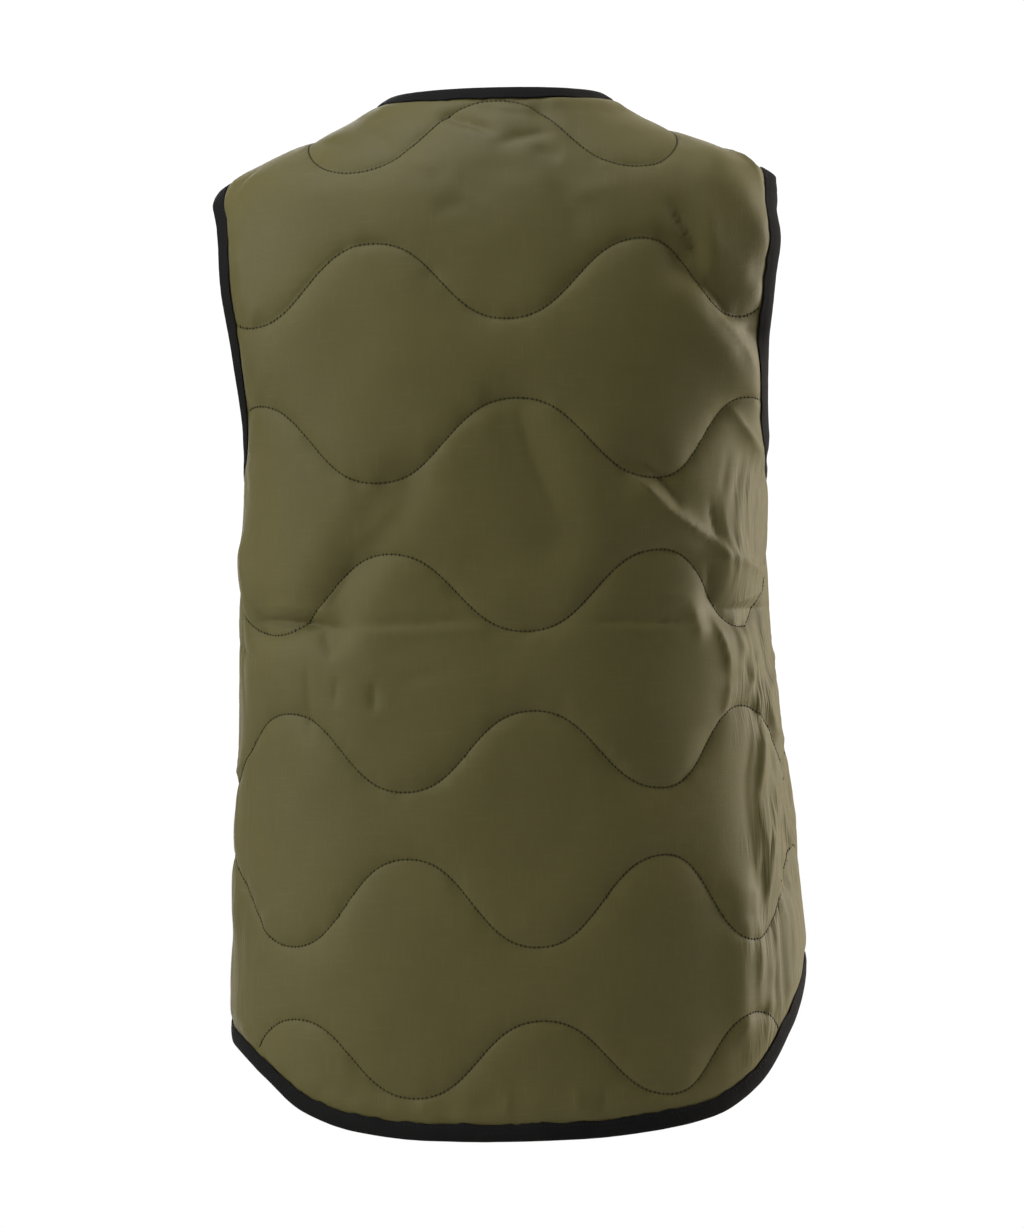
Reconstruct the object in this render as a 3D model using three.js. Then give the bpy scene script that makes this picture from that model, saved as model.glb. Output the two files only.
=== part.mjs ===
// A quilted vest in its worn shape, with nobody in it: one back, two lapped fronts, a binding
// folded over every free edge, and a row of snap caps down the front.
// Millimetres, +Z up. The front faces -Y and the wearer's left is +X. The origin is midway
// between the neck ends of the two shoulder seams.
//
// A place on the cloth is { around, z }. around counts quarters of the body's ring at height z,
// from the centre back: 1 is the wearer's right side seam, -1 the left one, 2 the centre front.
import * as THREE from "three";

// Cloth, fill and binding
const WALL = 2.0;
const PUFF = 4.5;
const PUFF_REACH = 11;
const SEAM_GAP = 0.3;
const SEAM_PINCH = 24;
const BINDING_WIDTH = 8.5;
const BINDING_THICKNESS = 1.0;
const BINDING_GAP = 0.3;

// Front closure: how far each front passes the centre, the strip kept flat, and the upper
// front's rise over the lower one
const LAP = 17;
const LAP_RISE = 5.2;
const LAP_BLEND_FROM = 1.72;
const LAP_BLEND_TO = 1.9;
const PLACKET = 34;
const PLACKET_FADE = 22;
const SNAP_COUNT = 5;
const SNAP_TOP_Z = -150;
const SNAP_PITCH = 104;
const SNAP_RADIUS = 6;
const SNAP_HEIGHT = 2.8;
const SNAP_SIDES = 14;
// Half the section of a cap, as parts of its radius and height
const SNAP_PROFILE = [
  { radius: 0, height: 0 },
  { radius: 0.95, height: 0 },
  { radius: 1, height: 0.29 },
  { radius: 0.87, height: 0.82 },
  { radius: 0.5, height: 1 },
  { radius: 0, height: 1 },
];

// Openings
const NECK_BACK_RISE = 5;
const NECK_HALF_WIDTH = 80;
const NECK_FRONT_DROP = 118;
const NECK_FRONT_CURVE = 1.6;
const ARMHOLE_TOP_Z = -50;
const ARMHOLE_BASE_Z = -238;
const ARMHOLE_BACK_REACH = 60;
const ARMHOLE_FRONT_REACH = 66;
const ARMHOLE_SQUARENESS = 2.2;
const HEM_LOW_Z = -660;

// Horizontal sections of the body's form. left, right, back and front are distances from the
// Z axis, and square is the power of the superellipse that joins them: 2 is round.
const RINGS = [
  { z: -700, left: 184, right: 195, back: 125, front: 125, square: 2.3 },
  { z: -610, left: 184, right: 193, back: 124, front: 124, square: 2.3 },
  { z: -530, left: 180, right: 189, back: 122, front: 122, square: 2.35 },
  { z: -430, left: 175, right: 179, back: 118, front: 120, square: 2.4 },
  { z: -330, left: 173, right: 170, back: 116, front: 120, square: 2.45 },
  { z: -235, left: 168, right: 172, back: 118, front: 122, square: 2.5 },
  { z: -160, left: 184, right: 191, back: 114, front: 120, square: 2.5 },
  { z: -105, left: 196, right: 201, back: 106, front: 114, square: 2.35 },
  { z: -65, left: 193, right: 192, back: 96, front: 106, square: 2.15 },
  { z: -50, left: 181, right: 181, back: 90, front: 102, square: 2.05 },
  { z: -42, left: 166, right: 169, back: 87, front: 99, square: 1.95 },
  { z: -26, left: 131, right: 131, back: 79, front: 92, square: 1.85 },
  { z: -12, left: 98, right: 99, back: 70, front: 84, square: 1.85 },
  { z: 0, left: 80, right: 80, back: 62, front: 76, square: 2.0 },
  { z: 14, left: 62, right: 62, back: 52, front: 62, square: 2.0 },
];

// How far the hem climbs above its lowest point, by quarters from the centre back
const HEM_CLIMB = [
  { around: 0, left: 0, right: 0 },
  { around: 0.2, left: 1, right: 1 },
  { around: 0.38, left: 6, right: 5 },
  { around: 0.53, left: 17, right: 12 },
  { around: 0.66, left: 36, right: 29 },
  { around: 0.79, left: 50, right: 60 },
  { around: 0.92, left: 56, right: 86 },
  { around: 1.0, left: 60, right: 95 },
  { around: 1.12, left: 56, right: 86 },
  { around: 1.35, left: 42, right: 53 },
  { around: 1.6, left: 32, right: 34 },
  { around: 1.85, left: 28, right: 28 },
  { around: 2.1, left: 27, right: 27 },
];

// Rows of wavy quilting. height is the wave's mean, middle the place of the crest or hollow
// nearest the centre back, and neighbouring rows wave against each other.
const STITCH_ROWS = [
  { height: -26, middle: 4, period: 183, swing: 23 },
  { height: -121, middle: 13, period: 172, swing: -25 },
  { height: -222, middle: 17, period: 179, swing: 26 },
  { height: -318, middle: 21, period: 174, swing: -25 },
  { height: -418, middle: 24, period: 164, swing: 25 },
  { height: -513, middle: 25, period: 164, swing: -28 },
  { height: -611, middle: 27, period: 163, swing: 24 },
];
// The wearer's right side is gathered, so the waves run closer together past this place
const GATHER_FROM = 105;
const GATHER = 0.35;

// Large folds, between two places given as distance from the centre back and height. A
// positive height is a ridge and a negative one a valley.
const FOLDS = [
  { from: [150, -52], to: [184, -94], height: 5, width: 16 },
  { from: [126, -114], to: [168, -156], height: -6, width: 15 },
  { from: [134, -130], to: [196, -222], height: 5, width: 18 },
  { from: [92, -240], to: [150, -296], height: -6, width: 15 },
  { from: [101, -256], to: [172, -298], height: 5, width: 17 },
  { from: [146, -333], to: [188, -335], height: -4, width: 14 },
  { from: [200, -385], to: [188, -500], height: 5, width: 15 },
  { from: [170, -372], to: [168, -470], height: -4, width: 14 },
  { from: [222, -420], to: [206, -500], height: -4, width: 14 },
  { from: [158, -515], to: [160, -590], height: 4, width: 15 },
  { from: [16, -200], to: [43, -280], height: -3, width: 20 },
  { from: [-54, -250], to: [-102, -318], height: -4, width: 17 },
  { from: [-160, -333], to: [-104, -338], height: -5, width: 15 },
  { from: [-188, -292], to: [-178, -326], height: 4, width: 15 },
  { from: [-196, -432], to: [-206, -520], height: 3, width: 17 },
  { from: [-300, -262], to: [-380, -330], height: -5, width: 17 },
  { from: [-290, -470], to: [-300, -580], height: 4, width: 18 },
  { from: [-400, -420], to: [-340, -500], height: -4, width: 17 },
  { from: [304, -250], to: [372, -318], height: -5, width: 17 },
  { from: [296, -440], to: [310, -560], height: 4, width: 18 },
  { from: [350, -560], to: [400, -500], height: -4, width: 17 },
];

// Net: steps along each edge of the pieces, about 18 mm each
const ARMHOLE_STEPS = 14;
const ARMHOLE_BASE_STEPS = 3;
const BACK_MIDDLE_STEPS = 24;
const BACK_NECK_STEPS = 12;
const FRONT_MIDDLE_STEPS = 12;
const FRONT_EDGE_STEPS = 4;
const LOWER_STEPS = 24;
const ARC_STEPS = 90;
const PROBE_AROUND = 0.01;
const PROBE_Z = 1.5;
const SAME_LENGTH = 0.01;
const NEAREST_STEP = 0.6;
const ON_SEAM = 0.004;

const LEFT = -1;
const RIGHT = 1;
const QUARTER_TURN = Math.PI / 2;
const { lerp, smoothstep, clamp } = THREE.MathUtils;

const quiltedCloth = new THREE.MeshStandardMaterial({ color: 0x4d4730, roughness: 0.85, metalness: 0 });
const bindingCloth = new THREE.MeshStandardMaterial({ color: 0x1a1a19, roughness: 0.8, metalness: 0 });
const snapMetal = new THREE.MeshStandardMaterial({ color: 0x22221f, roughness: 0.45, metalness: 0.6 });

// Tables and curves

// Value of a column at x: a smooth curve through the rows that never passes their values
function readTable(rows, key, column, x) {
  const last = rows.length - 1;
  const at = clamp(x, rows[0][key], rows[last][key]);
  let row = 0;
  while (row < last - 1 && at > rows[row + 1][key]) row += 1;
  const step = rows[row + 1][key] - rows[row][key];
  const t = (at - rows[row][key]) / step;
  const startSlope = slopeAt(rows, key, column, row) * step;
  const endSlope = slopeAt(rows, key, column, row + 1) * step;
  const start = rows[row][column];
  const end = rows[row + 1][column];
  const rise = t * t * (3 - 2 * t);
  return lerp(start, end, rise) + t * (1 - t) * (1 - t) * startSlope - t * t * (1 - t) * endSlope;
}

function slopeAt(rows, key, column, row) {
  if (row === 0 || row === rows.length - 1) return 0;
  const before = (rows[row][column] - rows[row - 1][column]) / (rows[row][key] - rows[row - 1][key]);
  const after = (rows[row + 1][column] - rows[row][column]) / (rows[row + 1][key] - rows[row][key]);
  return before * after > 0 ? (2 * before * after) / (before + after) : 0;
}

function signedPower(value, power) {
  return Math.sign(value) * Math.abs(value) ** power;
}

// The body's form

function ringSize(z, side) {
  return {
    half: readTable(RINGS, "z", side === LEFT ? "left" : "right", z),
    back: readTable(RINGS, "z", "back", z),
    front: readTable(RINGS, "z", "front", z),
    square: readTable(RINGS, "z", "square", z),
  };
}

// Point of a ring at a turn from the centre back, 0, by the side, a quarter, to the front, a half
function turnPoint(size, side, z, turn) {
  const x = size.half * signedPower(Math.sin(turn), 2 / size.square);
  const depth = turn > QUARTER_TURN ? size.front : size.back;
  return new THREE.Vector3(-side * x, depth * signedPower(Math.cos(turn), 2 / size.square), z);
}

// Lengths along one quarter of a ring, from its start to each of its steps
function quarterArc(z, side, isFront) {
  const size = ringSize(z, side);
  const startTurn = isFront ? QUARTER_TURN : 0;
  const lengths = [0];
  let last = turnPoint(size, side, z, startTurn);
  for (let step = 1; step <= ARC_STEPS; step += 1) {
    const next = turnPoint(size, side, z, startTurn + (QUARTER_TURN * step) / ARC_STEPS);
    lengths.push(lengths[step - 1] + next.distanceTo(last));
    last = next;
  }
  return { size, startTurn, lengths, total: lengths[ARC_STEPS] };
}

// Place on the ring, in quarters, of a turn
function aroundOfTurn(z, side, turn) {
  const isFront = turn > QUARTER_TURN;
  const arc = quarterArc(z, side, isFront);
  const step = ((turn - arc.startTurn) / QUARTER_TURN) * ARC_STEPS;
  const low = Math.min(Math.floor(step), ARC_STEPS - 1);
  const length = lerp(arc.lengths[low], arc.lengths[low + 1], step - low);
  return side * ((isFront ? 1 : 0) + length / arc.total);
}

function ringPoint(around, z) {
  const wrapped = around - 4 * Math.round(around / 4);
  const side = wrapped < 0 ? LEFT : RIGHT;
  const quarters = Math.abs(wrapped);
  const isFront = quarters > 1;
  const arc = quarterArc(z, side, isFront);
  const length = (quarters - (isFront ? 1 : 0)) * arc.total;
  let step = 0;
  while (step < ARC_STEPS - 1 && arc.lengths[step + 1] < length) step += 1;
  const part = (length - arc.lengths[step]) / (arc.lengths[step + 1] - arc.lengths[step]);
  return turnPoint(arc.size, side, z, arc.startTurn + (QUARTER_TURN * (step + part)) / ARC_STEPS);
}

// Distance along the cloth from the centre back, positive on the wearer's right
function acrossAt(around, z) {
  const side = around < 0 ? LEFT : RIGHT;
  const quarters = Math.abs(around);
  const back = quarterArc(z, side, false).total;
  if (quarters <= 1) return side * quarters * back;
  return side * (back + (quarters - 1) * quarterArc(z, side, true).total);
}

// Directions along the ring and up the cloth at a place, for each unit of around and of z
function tangents(pointAt, around, z) {
  const along = pointAt(around + PROBE_AROUND, z).sub(pointAt(around - PROBE_AROUND, z));
  const up = pointAt(around, z + PROBE_Z).sub(pointAt(around, z - PROBE_Z));
  return { along: along.divideScalar(2 * PROBE_AROUND), up: up.divideScalar(2 * PROBE_Z) };
}

function outwardNormal(pointAt, around, z) {
  const { along, up } = tangents(pointAt, around, z);
  return along.cross(up).normalize();
}

function foldHeight(across, z) {
  let height = 0;
  for (const fold of FOLDS) {
    const run = [fold.to[0] - fold.from[0], fold.to[1] - fold.from[1]];
    const offset = [across - fold.from[0], z - fold.from[1]];
    const part = (offset[0] * run[0] + offset[1] * run[1]) / (run[0] ** 2 + run[1] ** 2);
    const nearest = clamp(part, 0, 1);
    const distance = Math.hypot(offset[0] - nearest * run[0], offset[1] - nearest * run[1]);
    height += fold.height * Math.exp(-((distance / fold.width) ** 2));
  }
  return height;
}

function lapRise(around) {
  return LAP_RISE * smoothstep(around, LAP_BLEND_FROM, LAP_BLEND_TO);
}

// Cloth with its folds. The wearer's right front lies over the left one at the centre.
function clothPoint(around, z) {
  const lift = foldHeight(acrossAt(around, z), z) + lapRise(around);
  return ringPoint(around, z).addScaledVector(outwardNormal(ringPoint, around, z), lift);
}

// Quilting

function stitchHeight(row, across) {
  const gathered = across + GATHER * Math.max(0, across - GATHER_FROM);
  return row.height + row.swing * Math.cos((2 * Math.PI * (gathered - row.middle)) / row.period);
}

function stitchDistance(across, z) {
  let nearest = Infinity;
  for (const row of STITCH_ROWS) {
    const slope = (stitchHeight(row, across + 1) - stitchHeight(row, across - 1)) / 2;
    nearest = Math.min(nearest, Math.abs(z - stitchHeight(row, across)) / Math.hypot(1, slope));
  }
  return nearest;
}

// How far the fill lifts the outer face: nothing at stitches, seams and the front strip
function puffHeight({ around, z }) {
  const across = acrossAt(around, z);
  const side = around < 0 ? LEFT : RIGHT;
  const puffed = PUFF * (1 - Math.exp(-stitchDistance(across, z) / PUFF_REACH));
  const backLength = quarterArc(z, side, false).total;
  const seamDistance = Math.abs(Math.abs(around) - 1) * backLength;
  const edgeDistance = lapAround(z, side) * backLength - Math.abs(around) * backLength;
  return puffed * smoothstep(seamDistance, 0, SEAM_PINCH) * smoothstep(edgeDistance, PLACKET, PLACKET + PLACKET_FADE);
}

// Outlines

function hemZ(around) {
  return HEM_LOW_Z + readTable(HEM_CLIMB, "around", around < 0 ? "left" : "right", Math.abs(around));
}

// Side and shoulder seams lie at one quarter, less half the seam's gap
function seamAround(z, side, isFront) {
  const half = SEAM_GAP / 2 / quarterArc(z, side, isFront).total;
  return side * (isFront ? 1 + half : 1 - half);
}

function lapAround(z, side) {
  return 2 + LAP / quarterArc(z, side, true).total;
}

// Armhole edge from the side seam up to the shoulder, an oval seen from the side
function armholeEdge(side, isFront) {
  const middle = (ARMHOLE_TOP_Z + ARMHOLE_BASE_Z) / 2;
  const halfHeight = (ARMHOLE_TOP_Z - ARMHOLE_BASE_Z) / 2;
  const reach = isFront ? ARMHOLE_FRONT_REACH : ARMHOLE_BACK_REACH;
  const power = 2 / ARMHOLE_SQUARENESS;
  const places = [];
  for (let step = 0; step <= ARMHOLE_STEPS; step += 1) {
    const turn = (Math.PI * step) / ARMHOLE_STEPS;
    const z = middle - halfHeight * signedPower(Math.cos(turn), power);
    const y = reach * Math.max(0, Math.sin(turn)) ** power;
    const size = ringSize(z, side);
    const fromSeam = Math.asin((y / (isFront ? size.front : size.back)) ** (size.square / 2));
    const ringTurn = isFront ? QUARTER_TURN + fromSeam : QUARTER_TURN - fromSeam;
    const isSeam = step === 0 || step === ARMHOLE_STEPS;
    places.push({ around: isSeam ? seamAround(z, side, isFront) : aroundOfTurn(z, side, ringTurn), z });
  }
  return places;
}

function backNeckEdge() {
  const places = [];
  for (let step = 0; step <= BACK_NECK_STEPS; step += 1) {
    const part = lerp(-1, 1, step / BACK_NECK_STEPS);
    const z = NECK_BACK_RISE * (1 - part * part);
    places.push({ around: Math.abs(part) * Math.abs(seamAround(z, RIGHT, false)) * Math.sign(part), z });
  }
  return places;
}

// Front neck edge from the corner at the lap up to the shoulder seam
function frontNeckEdge(side, steps) {
  const places = [];
  for (let step = 0; step <= steps; step += 1) {
    const part = 1 - step / steps;
    const z = -NECK_FRONT_DROP * part;
    const x = NECK_HALF_WIDTH - (NECK_HALF_WIDTH + LAP) * part ** NECK_FRONT_CURVE;
    const size = ringSize(z, side);
    const fromCentre = Math.sign(x) * Math.asin(Math.min(1, Math.abs(x) / size.half) ** (size.square / 2));
    const mirrored = Math.abs(aroundOfTurn(z, side, Math.PI - Math.abs(fromCentre)));
    const quarters = x < 0 ? 4 - mirrored : mirrored;
    places.push({ around: step === steps ? seamAround(z, side, true) : side * quarters, z });
  }
  return places;
}

// Bands along the free edges

// Moves a chain of edge places onto the panel by the binding's width. Ends on a seam stay on
// it, and at a corner the new place keeps its distance from both edges.
function insetChain(edge, corners) {
  const points = edge.map((place) => ringPoint(place.around, place.z));
  return edge.map((place, index) => {
    const { along, up } = tangents(ringPoint, place.around, place.z);
    const normal = along.clone().cross(up).normalize();
    const inwardOf = (from, to) => normal.clone().cross(points[to].clone().sub(points[from])).normalize();
    const before = Math.max(index - 1, 0);
    const after = Math.min(index + 1, edge.length - 1);
    if (before === index || after === index) {
      const inward = inwardOf(before, after);
      return { around: place.around, z: place.z + BINDING_WIDTH / up.dot(inward) };
    }
    if (!corners.includes(index)) {
      const inward = inwardOf(before, after);
      return solvePlace(place, along, up, inward, BINDING_WIDTH, points[after].clone().sub(points[before]), 0);
    }
    return solvePlace(place, along, up, inwardOf(before, index), BINDING_WIDTH, inwardOf(index, after), BINDING_WIDTH);
  });
}

// Place whose shift from a start has the given lengths along two directions
function solvePlace(place, along, up, first, firstLength, second, secondLength) {
  const a = along.dot(first);
  const b = up.dot(first);
  const c = along.dot(second);
  const d = up.dot(second);
  const determinant = a * d - b * c;
  return {
    around: place.around + (firstLength * d - b * secondLength) / determinant,
    z: place.z + (a * secondLength - c * firstLength) / determinant,
  };
}

function reversedPath(places) {
  return [...places].reverse();
}

function between(from, to, steps) {
  const places = [];
  for (let step = 0; step <= steps; step += 1) {
    const part = step / steps;
    places.push({ around: lerp(from.around, to.around, part), z: lerp(from.z, to.z, part) });
  }
  return places;
}

// Net of places between four edges that share their corners, as rows from the bottom up
function fillBlock(bottom, top, left, right) {
  const columns = bottom.length - 1;
  const rows = left.length - 1;
  const blend = (key, u, v, row, column) => {
    const ruled = lerp(bottom[column][key], top[column][key], v) + lerp(left[row][key], right[row][key], u);
    const low = lerp(bottom[0][key], bottom[columns][key], u);
    const high = lerp(top[0][key], top[columns][key], u);
    return ruled - lerp(low, high, v);
  };
  return left.map((_, row) =>
    bottom.map((__, column) => ({
      around: blend("around", column / columns, row / rows, row, column),
      z: blend("z", column / columns, row / rows, row, column),
    })),
  );
}

// Where a column of places crosses the stitch rows, as { at, row } in steps from its start
function columnCrossings(column) {
  const acrosses = column.map(({ around, z }) => acrossAt(around, z));
  const crossings = [];
  for (let index = 0; index + 1 < column.length; index += 1) {
    STITCH_ROWS.forEach((row, number) => {
      const here = column[index].z - stitchHeight(row, acrosses[index]);
      const next = column[index + 1].z - stitchHeight(row, acrosses[index + 1]);
      if (here * next < 0) crossings.push({ at: index + here / (here - next), row: number + 1 });
    });
  }
  return crossings.sort((a, b) => a.at - b.at);
}

// Slides the places of a column along it, so that one sits on each stitch row that it crosses
function settleColumn(column) {
  const last = column.length - 1;
  const anchors = [{ index: 0, at: 0, row: 0 }];
  for (const { at, row } of columnCrossings(column)) {
    const index = Math.max(Math.round(at), anchors.at(-1).index + 1);
    if (index < last && Math.abs(index - at) < NEAREST_STEP) anchors.push({ index, at, row });
  }
  anchors.push({ index: last, at: last, row: 0 });
  return column.map((_, index) => {
    const upper = anchors.findIndex((anchor) => anchor.index >= index);
    const high = anchors[upper];
    const low = anchors[Math.max(upper - 1, 0)];
    const part = high.index === low.index ? 1 : (index - low.index) / (high.index - low.index);
    const at = lerp(low.at, high.at, part);
    const floor = Math.min(Math.floor(at), last - 1);
    return {
      around: lerp(column[floor].around, column[floor + 1].around, at - floor),
      z: lerp(column[floor].z, column[floor + 1].z, at - floor),
      stitched: high.index === index ? high.row : 0,
    };
  });
}

// Panels

// A panel collects vertices, the quads between them and the strips under its bindings
class Panel {
  constructor(isMirrored) {
    this.isMirrored = isMirrored;
    this.vertices = [];
    this.quads = [];
  }

  addVertex(place, isFlat) {
    const { around, z } = place;
    this.vertices.push({
      point: clothPoint(around, z),
      normal: outwardNormal(clothPoint, around, z),
      puff: isFlat ? 0 : puffHeight(place),
      stitched: isFlat ? 0 : place.stitched ?? 0,
    });
    if (place.stitched && !isFlat) this.vertices.at(-1).puff = 0;
    return this.vertices.length - 1;
  }

  addQuad(a, b, c, d) {
    this.quads.push(this.isMirrored ? [d, c, b, a] : [a, b, c, d]);
  }

  // Adds the band of cloth outside a chain of border vertices, out to the free edge. The chain
  // runs with the panel on its left, seen from outside an unmirrored panel.
  addStrip(borders, edge) {
    const stations = borders.map((border, index) => ({ border, edge: this.addVertex(edge[index], true) }));
    for (let index = 0; index + 1 < stations.length; index += 1) {
      const here = stations[index];
      const next = stations[index + 1];
      this.addQuad(here.edge, next.edge, next.border, here.border);
    }
    return stations;
  }

  outer(index) {
    const { point, normal, puff } = this.vertices[index];
    return point.clone().addScaledVector(normal, puff);
  }

  inner(index) {
    const { point, normal } = this.vertices[index];
    return point.clone().addScaledVector(normal, -WALL);
  }

  // Cuts a quad along its stitch row where one crosses it, and along its shorter diagonal if not
  cutQuad([a, b, c, d]) {
    const row = (index) => this.vertices[index].stitched;
    const first = [[a, b, c], [a, c, d]];
    const second = [[a, b, d], [b, c, d]];
    if (row(a) && row(a) === row(c)) return first;
    if (row(b) && row(b) === row(d)) return second;
    const place = (index) => this.vertices[index].point;
    return isFirstDiagonal(place(a), place(c), place(b), place(d)) ? first : second;
  }

  // Closed wall: outer faces, inner faces and the narrow faces between them along every edge
  wall() {
    const count = this.vertices.length;
    const points = this.vertices.map((_, index) => this.outer(index));
    this.vertices.forEach((_, index) => points.push(this.inner(index)));
    const triangles = [];
    const openEdges = new Map();
    for (const quad of this.quads) {
      for (const [a, b, c] of this.cutQuad(quad)) triangles.push([a, b, c], [c + count, b + count, a + count]);
      quad.forEach((from, corner) => {
        const to = quad[(corner + 1) % 4];
        if (!openEdges.delete(`${to},${from}`)) openEdges.set(`${from},${to}`, [from, to]);
      });
    }
    for (const [from, to] of openEdges.values()) {
      triangles.push([to, from, from + count], [to, from + count, to + count]);
    }
    return { points, triangles };
  }

  // What a binding needs to know of the panel at one station of a strip
  bindingStation({ border, edge }) {
    return {
      borderOuter: this.outer(border),
      borderInner: this.inner(border),
      edgeOuter: this.outer(edge),
      edgeInner: this.inner(edge),
      borderNormal: this.vertices[border].normal.clone(),
      edgeNormal: this.vertices[edge].normal.clone(),
    };
  }
}

// True for the shorter of two diagonals; of two that match, the one with the lowest end
function isFirstDiagonal(a, c, b, d) {
  const difference = a.distanceTo(c) - b.distanceTo(d);
  if (Math.abs(difference) > SAME_LENGTH) return difference < 0;
  return Math.min(a.z, c.z) < Math.min(b.z, d.z);
}

// Adds the inner net of a panel: a lower block over its full width and an upper one between
// column `from` and column `to`. Returns the vertex numbers as rows.
function addNet(panel, lower, upper, from, to) {
  const rowCount = lower.length + upper.length - 1;
  const net = [];
  for (let row = 0; row < rowCount; row += 1) net.push([]);
  for (let column = 0; column < lower[0].length; column += 1) {
    const isTall = column > from && column < to;
    let places = lower.map((row) => row[column]);
    if (isTall) places = places.concat(upper.slice(1).map((row) => row[column - from]));
    places = settleColumn(places);
    if (column === from || column === to) {
      places = places.concat(upper.slice(1).map((row) => row[column - from]));
    }
    places.forEach((place, row) => {
      const isBorder = row === 0 || row === places.length - 1 || (!isTall && row >= lower.length - 1);
      net[row][column] = panel.addVertex(place, isBorder || isOnSeam(place));
    });
  }
  for (let row = 0; row + 1 < rowCount; row += 1) {
    const isLow = row < lower.length - 1;
    const first = isLow ? 0 : from;
    const last = isLow ? lower[0].length - 1 : to;
    for (let column = first; column < last; column += 1) {
      const [here, above] = [net[row], net[row + 1]];
      panel.addQuad(here[column], here[column + 1], above[column + 1], above[column]);
    }
  }
  return net;
}

function isOnSeam({ around }) {
  return Math.abs(Math.abs(around) - 1) < ON_SEAM;
}

function buildBack() {
  const armSteps = ARMHOLE_BASE_STEPS;
  const columns = BACK_MIDDLE_STEPS + 2 * armSteps;
  const hemEdge = [];
  for (let column = 0; column <= columns; column += 1) {
    const around = lerp(-1, 1, column / columns);
    const z = hemZ(around);
    const side = around < 0 ? LEFT : RIGHT;
    const isSeam = column === 0 || column === columns;
    hemEdge.push({ around: isSeam ? seamAround(z, side, false) : around, z });
  }
  const leftArm = armholeEdge(LEFT, false);
  const rightArm = armholeEdge(RIGHT, false);
  const neckEdge = backNeckEdge();
  const hemBorder = insetChain(hemEdge, []);
  const rightArmBorder = insetChain(rightArm, []);
  const leftArmBorder = reversedPath(insetChain(reversedPath(leftArm), []));
  const neckBorder = reversedPath(insetChain(reversedPath(neckEdge), []));

  const junction = between(leftArmBorder[armSteps], rightArmBorder[armSteps], BACK_MIDDLE_STEPS);
  const lowerTop = [
    ...leftArmBorder.slice(0, armSteps),
    ...junction,
    ...reversedPath(rightArmBorder.slice(0, armSteps)),
  ];
  const shoulderSteps = (BACK_MIDDLE_STEPS - BACK_NECK_STEPS) / 2;
  const upperTop = [
    ...between(leftArmBorder.at(-1), neckBorder[0], shoulderSteps),
    ...neckBorder.slice(1, -1),
    ...between(neckBorder.at(-1), rightArmBorder.at(-1), shoulderSteps),
  ];
  const lower = fillBlock(
    hemBorder,
    lowerTop,
    between(hemBorder[0], leftArmBorder[0], LOWER_STEPS),
    between(hemBorder.at(-1), rightArmBorder[0], LOWER_STEPS),
  );
  const upper = fillBlock(junction, upperTop, leftArmBorder.slice(armSteps), rightArmBorder.slice(armSteps));

  const panel = new Panel(false);
  const net = addNet(panel, lower, upper, armSteps, columns - armSteps);
  const armVertices = (first, last, step) => {
    const numbers = [];
    for (let column = first; column !== last; column += step) numbers.push(net[LOWER_STEPS][column]);
    for (let row = LOWER_STEPS; row < net.length; row += 1) numbers.push(net[row][last]);
    return numbers;
  };
  const neckVertices = net.at(-1).slice(armSteps + shoulderSteps, columns - armSteps - shoulderSteps + 1);
  panel.hem = panel.addStrip(net[0], hemEdge);
  panel.rightArm = panel.addStrip(armVertices(columns, columns - armSteps, -1), rightArm);
  panel.leftArm = reversedPath(panel.addStrip(reversedPath(armVertices(0, armSteps, 1)), reversedPath(leftArm)));
  panel.neck = reversedPath(panel.addStrip(reversedPath(neckVertices), reversedPath(neckEdge)));
  return panel;
}

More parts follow.
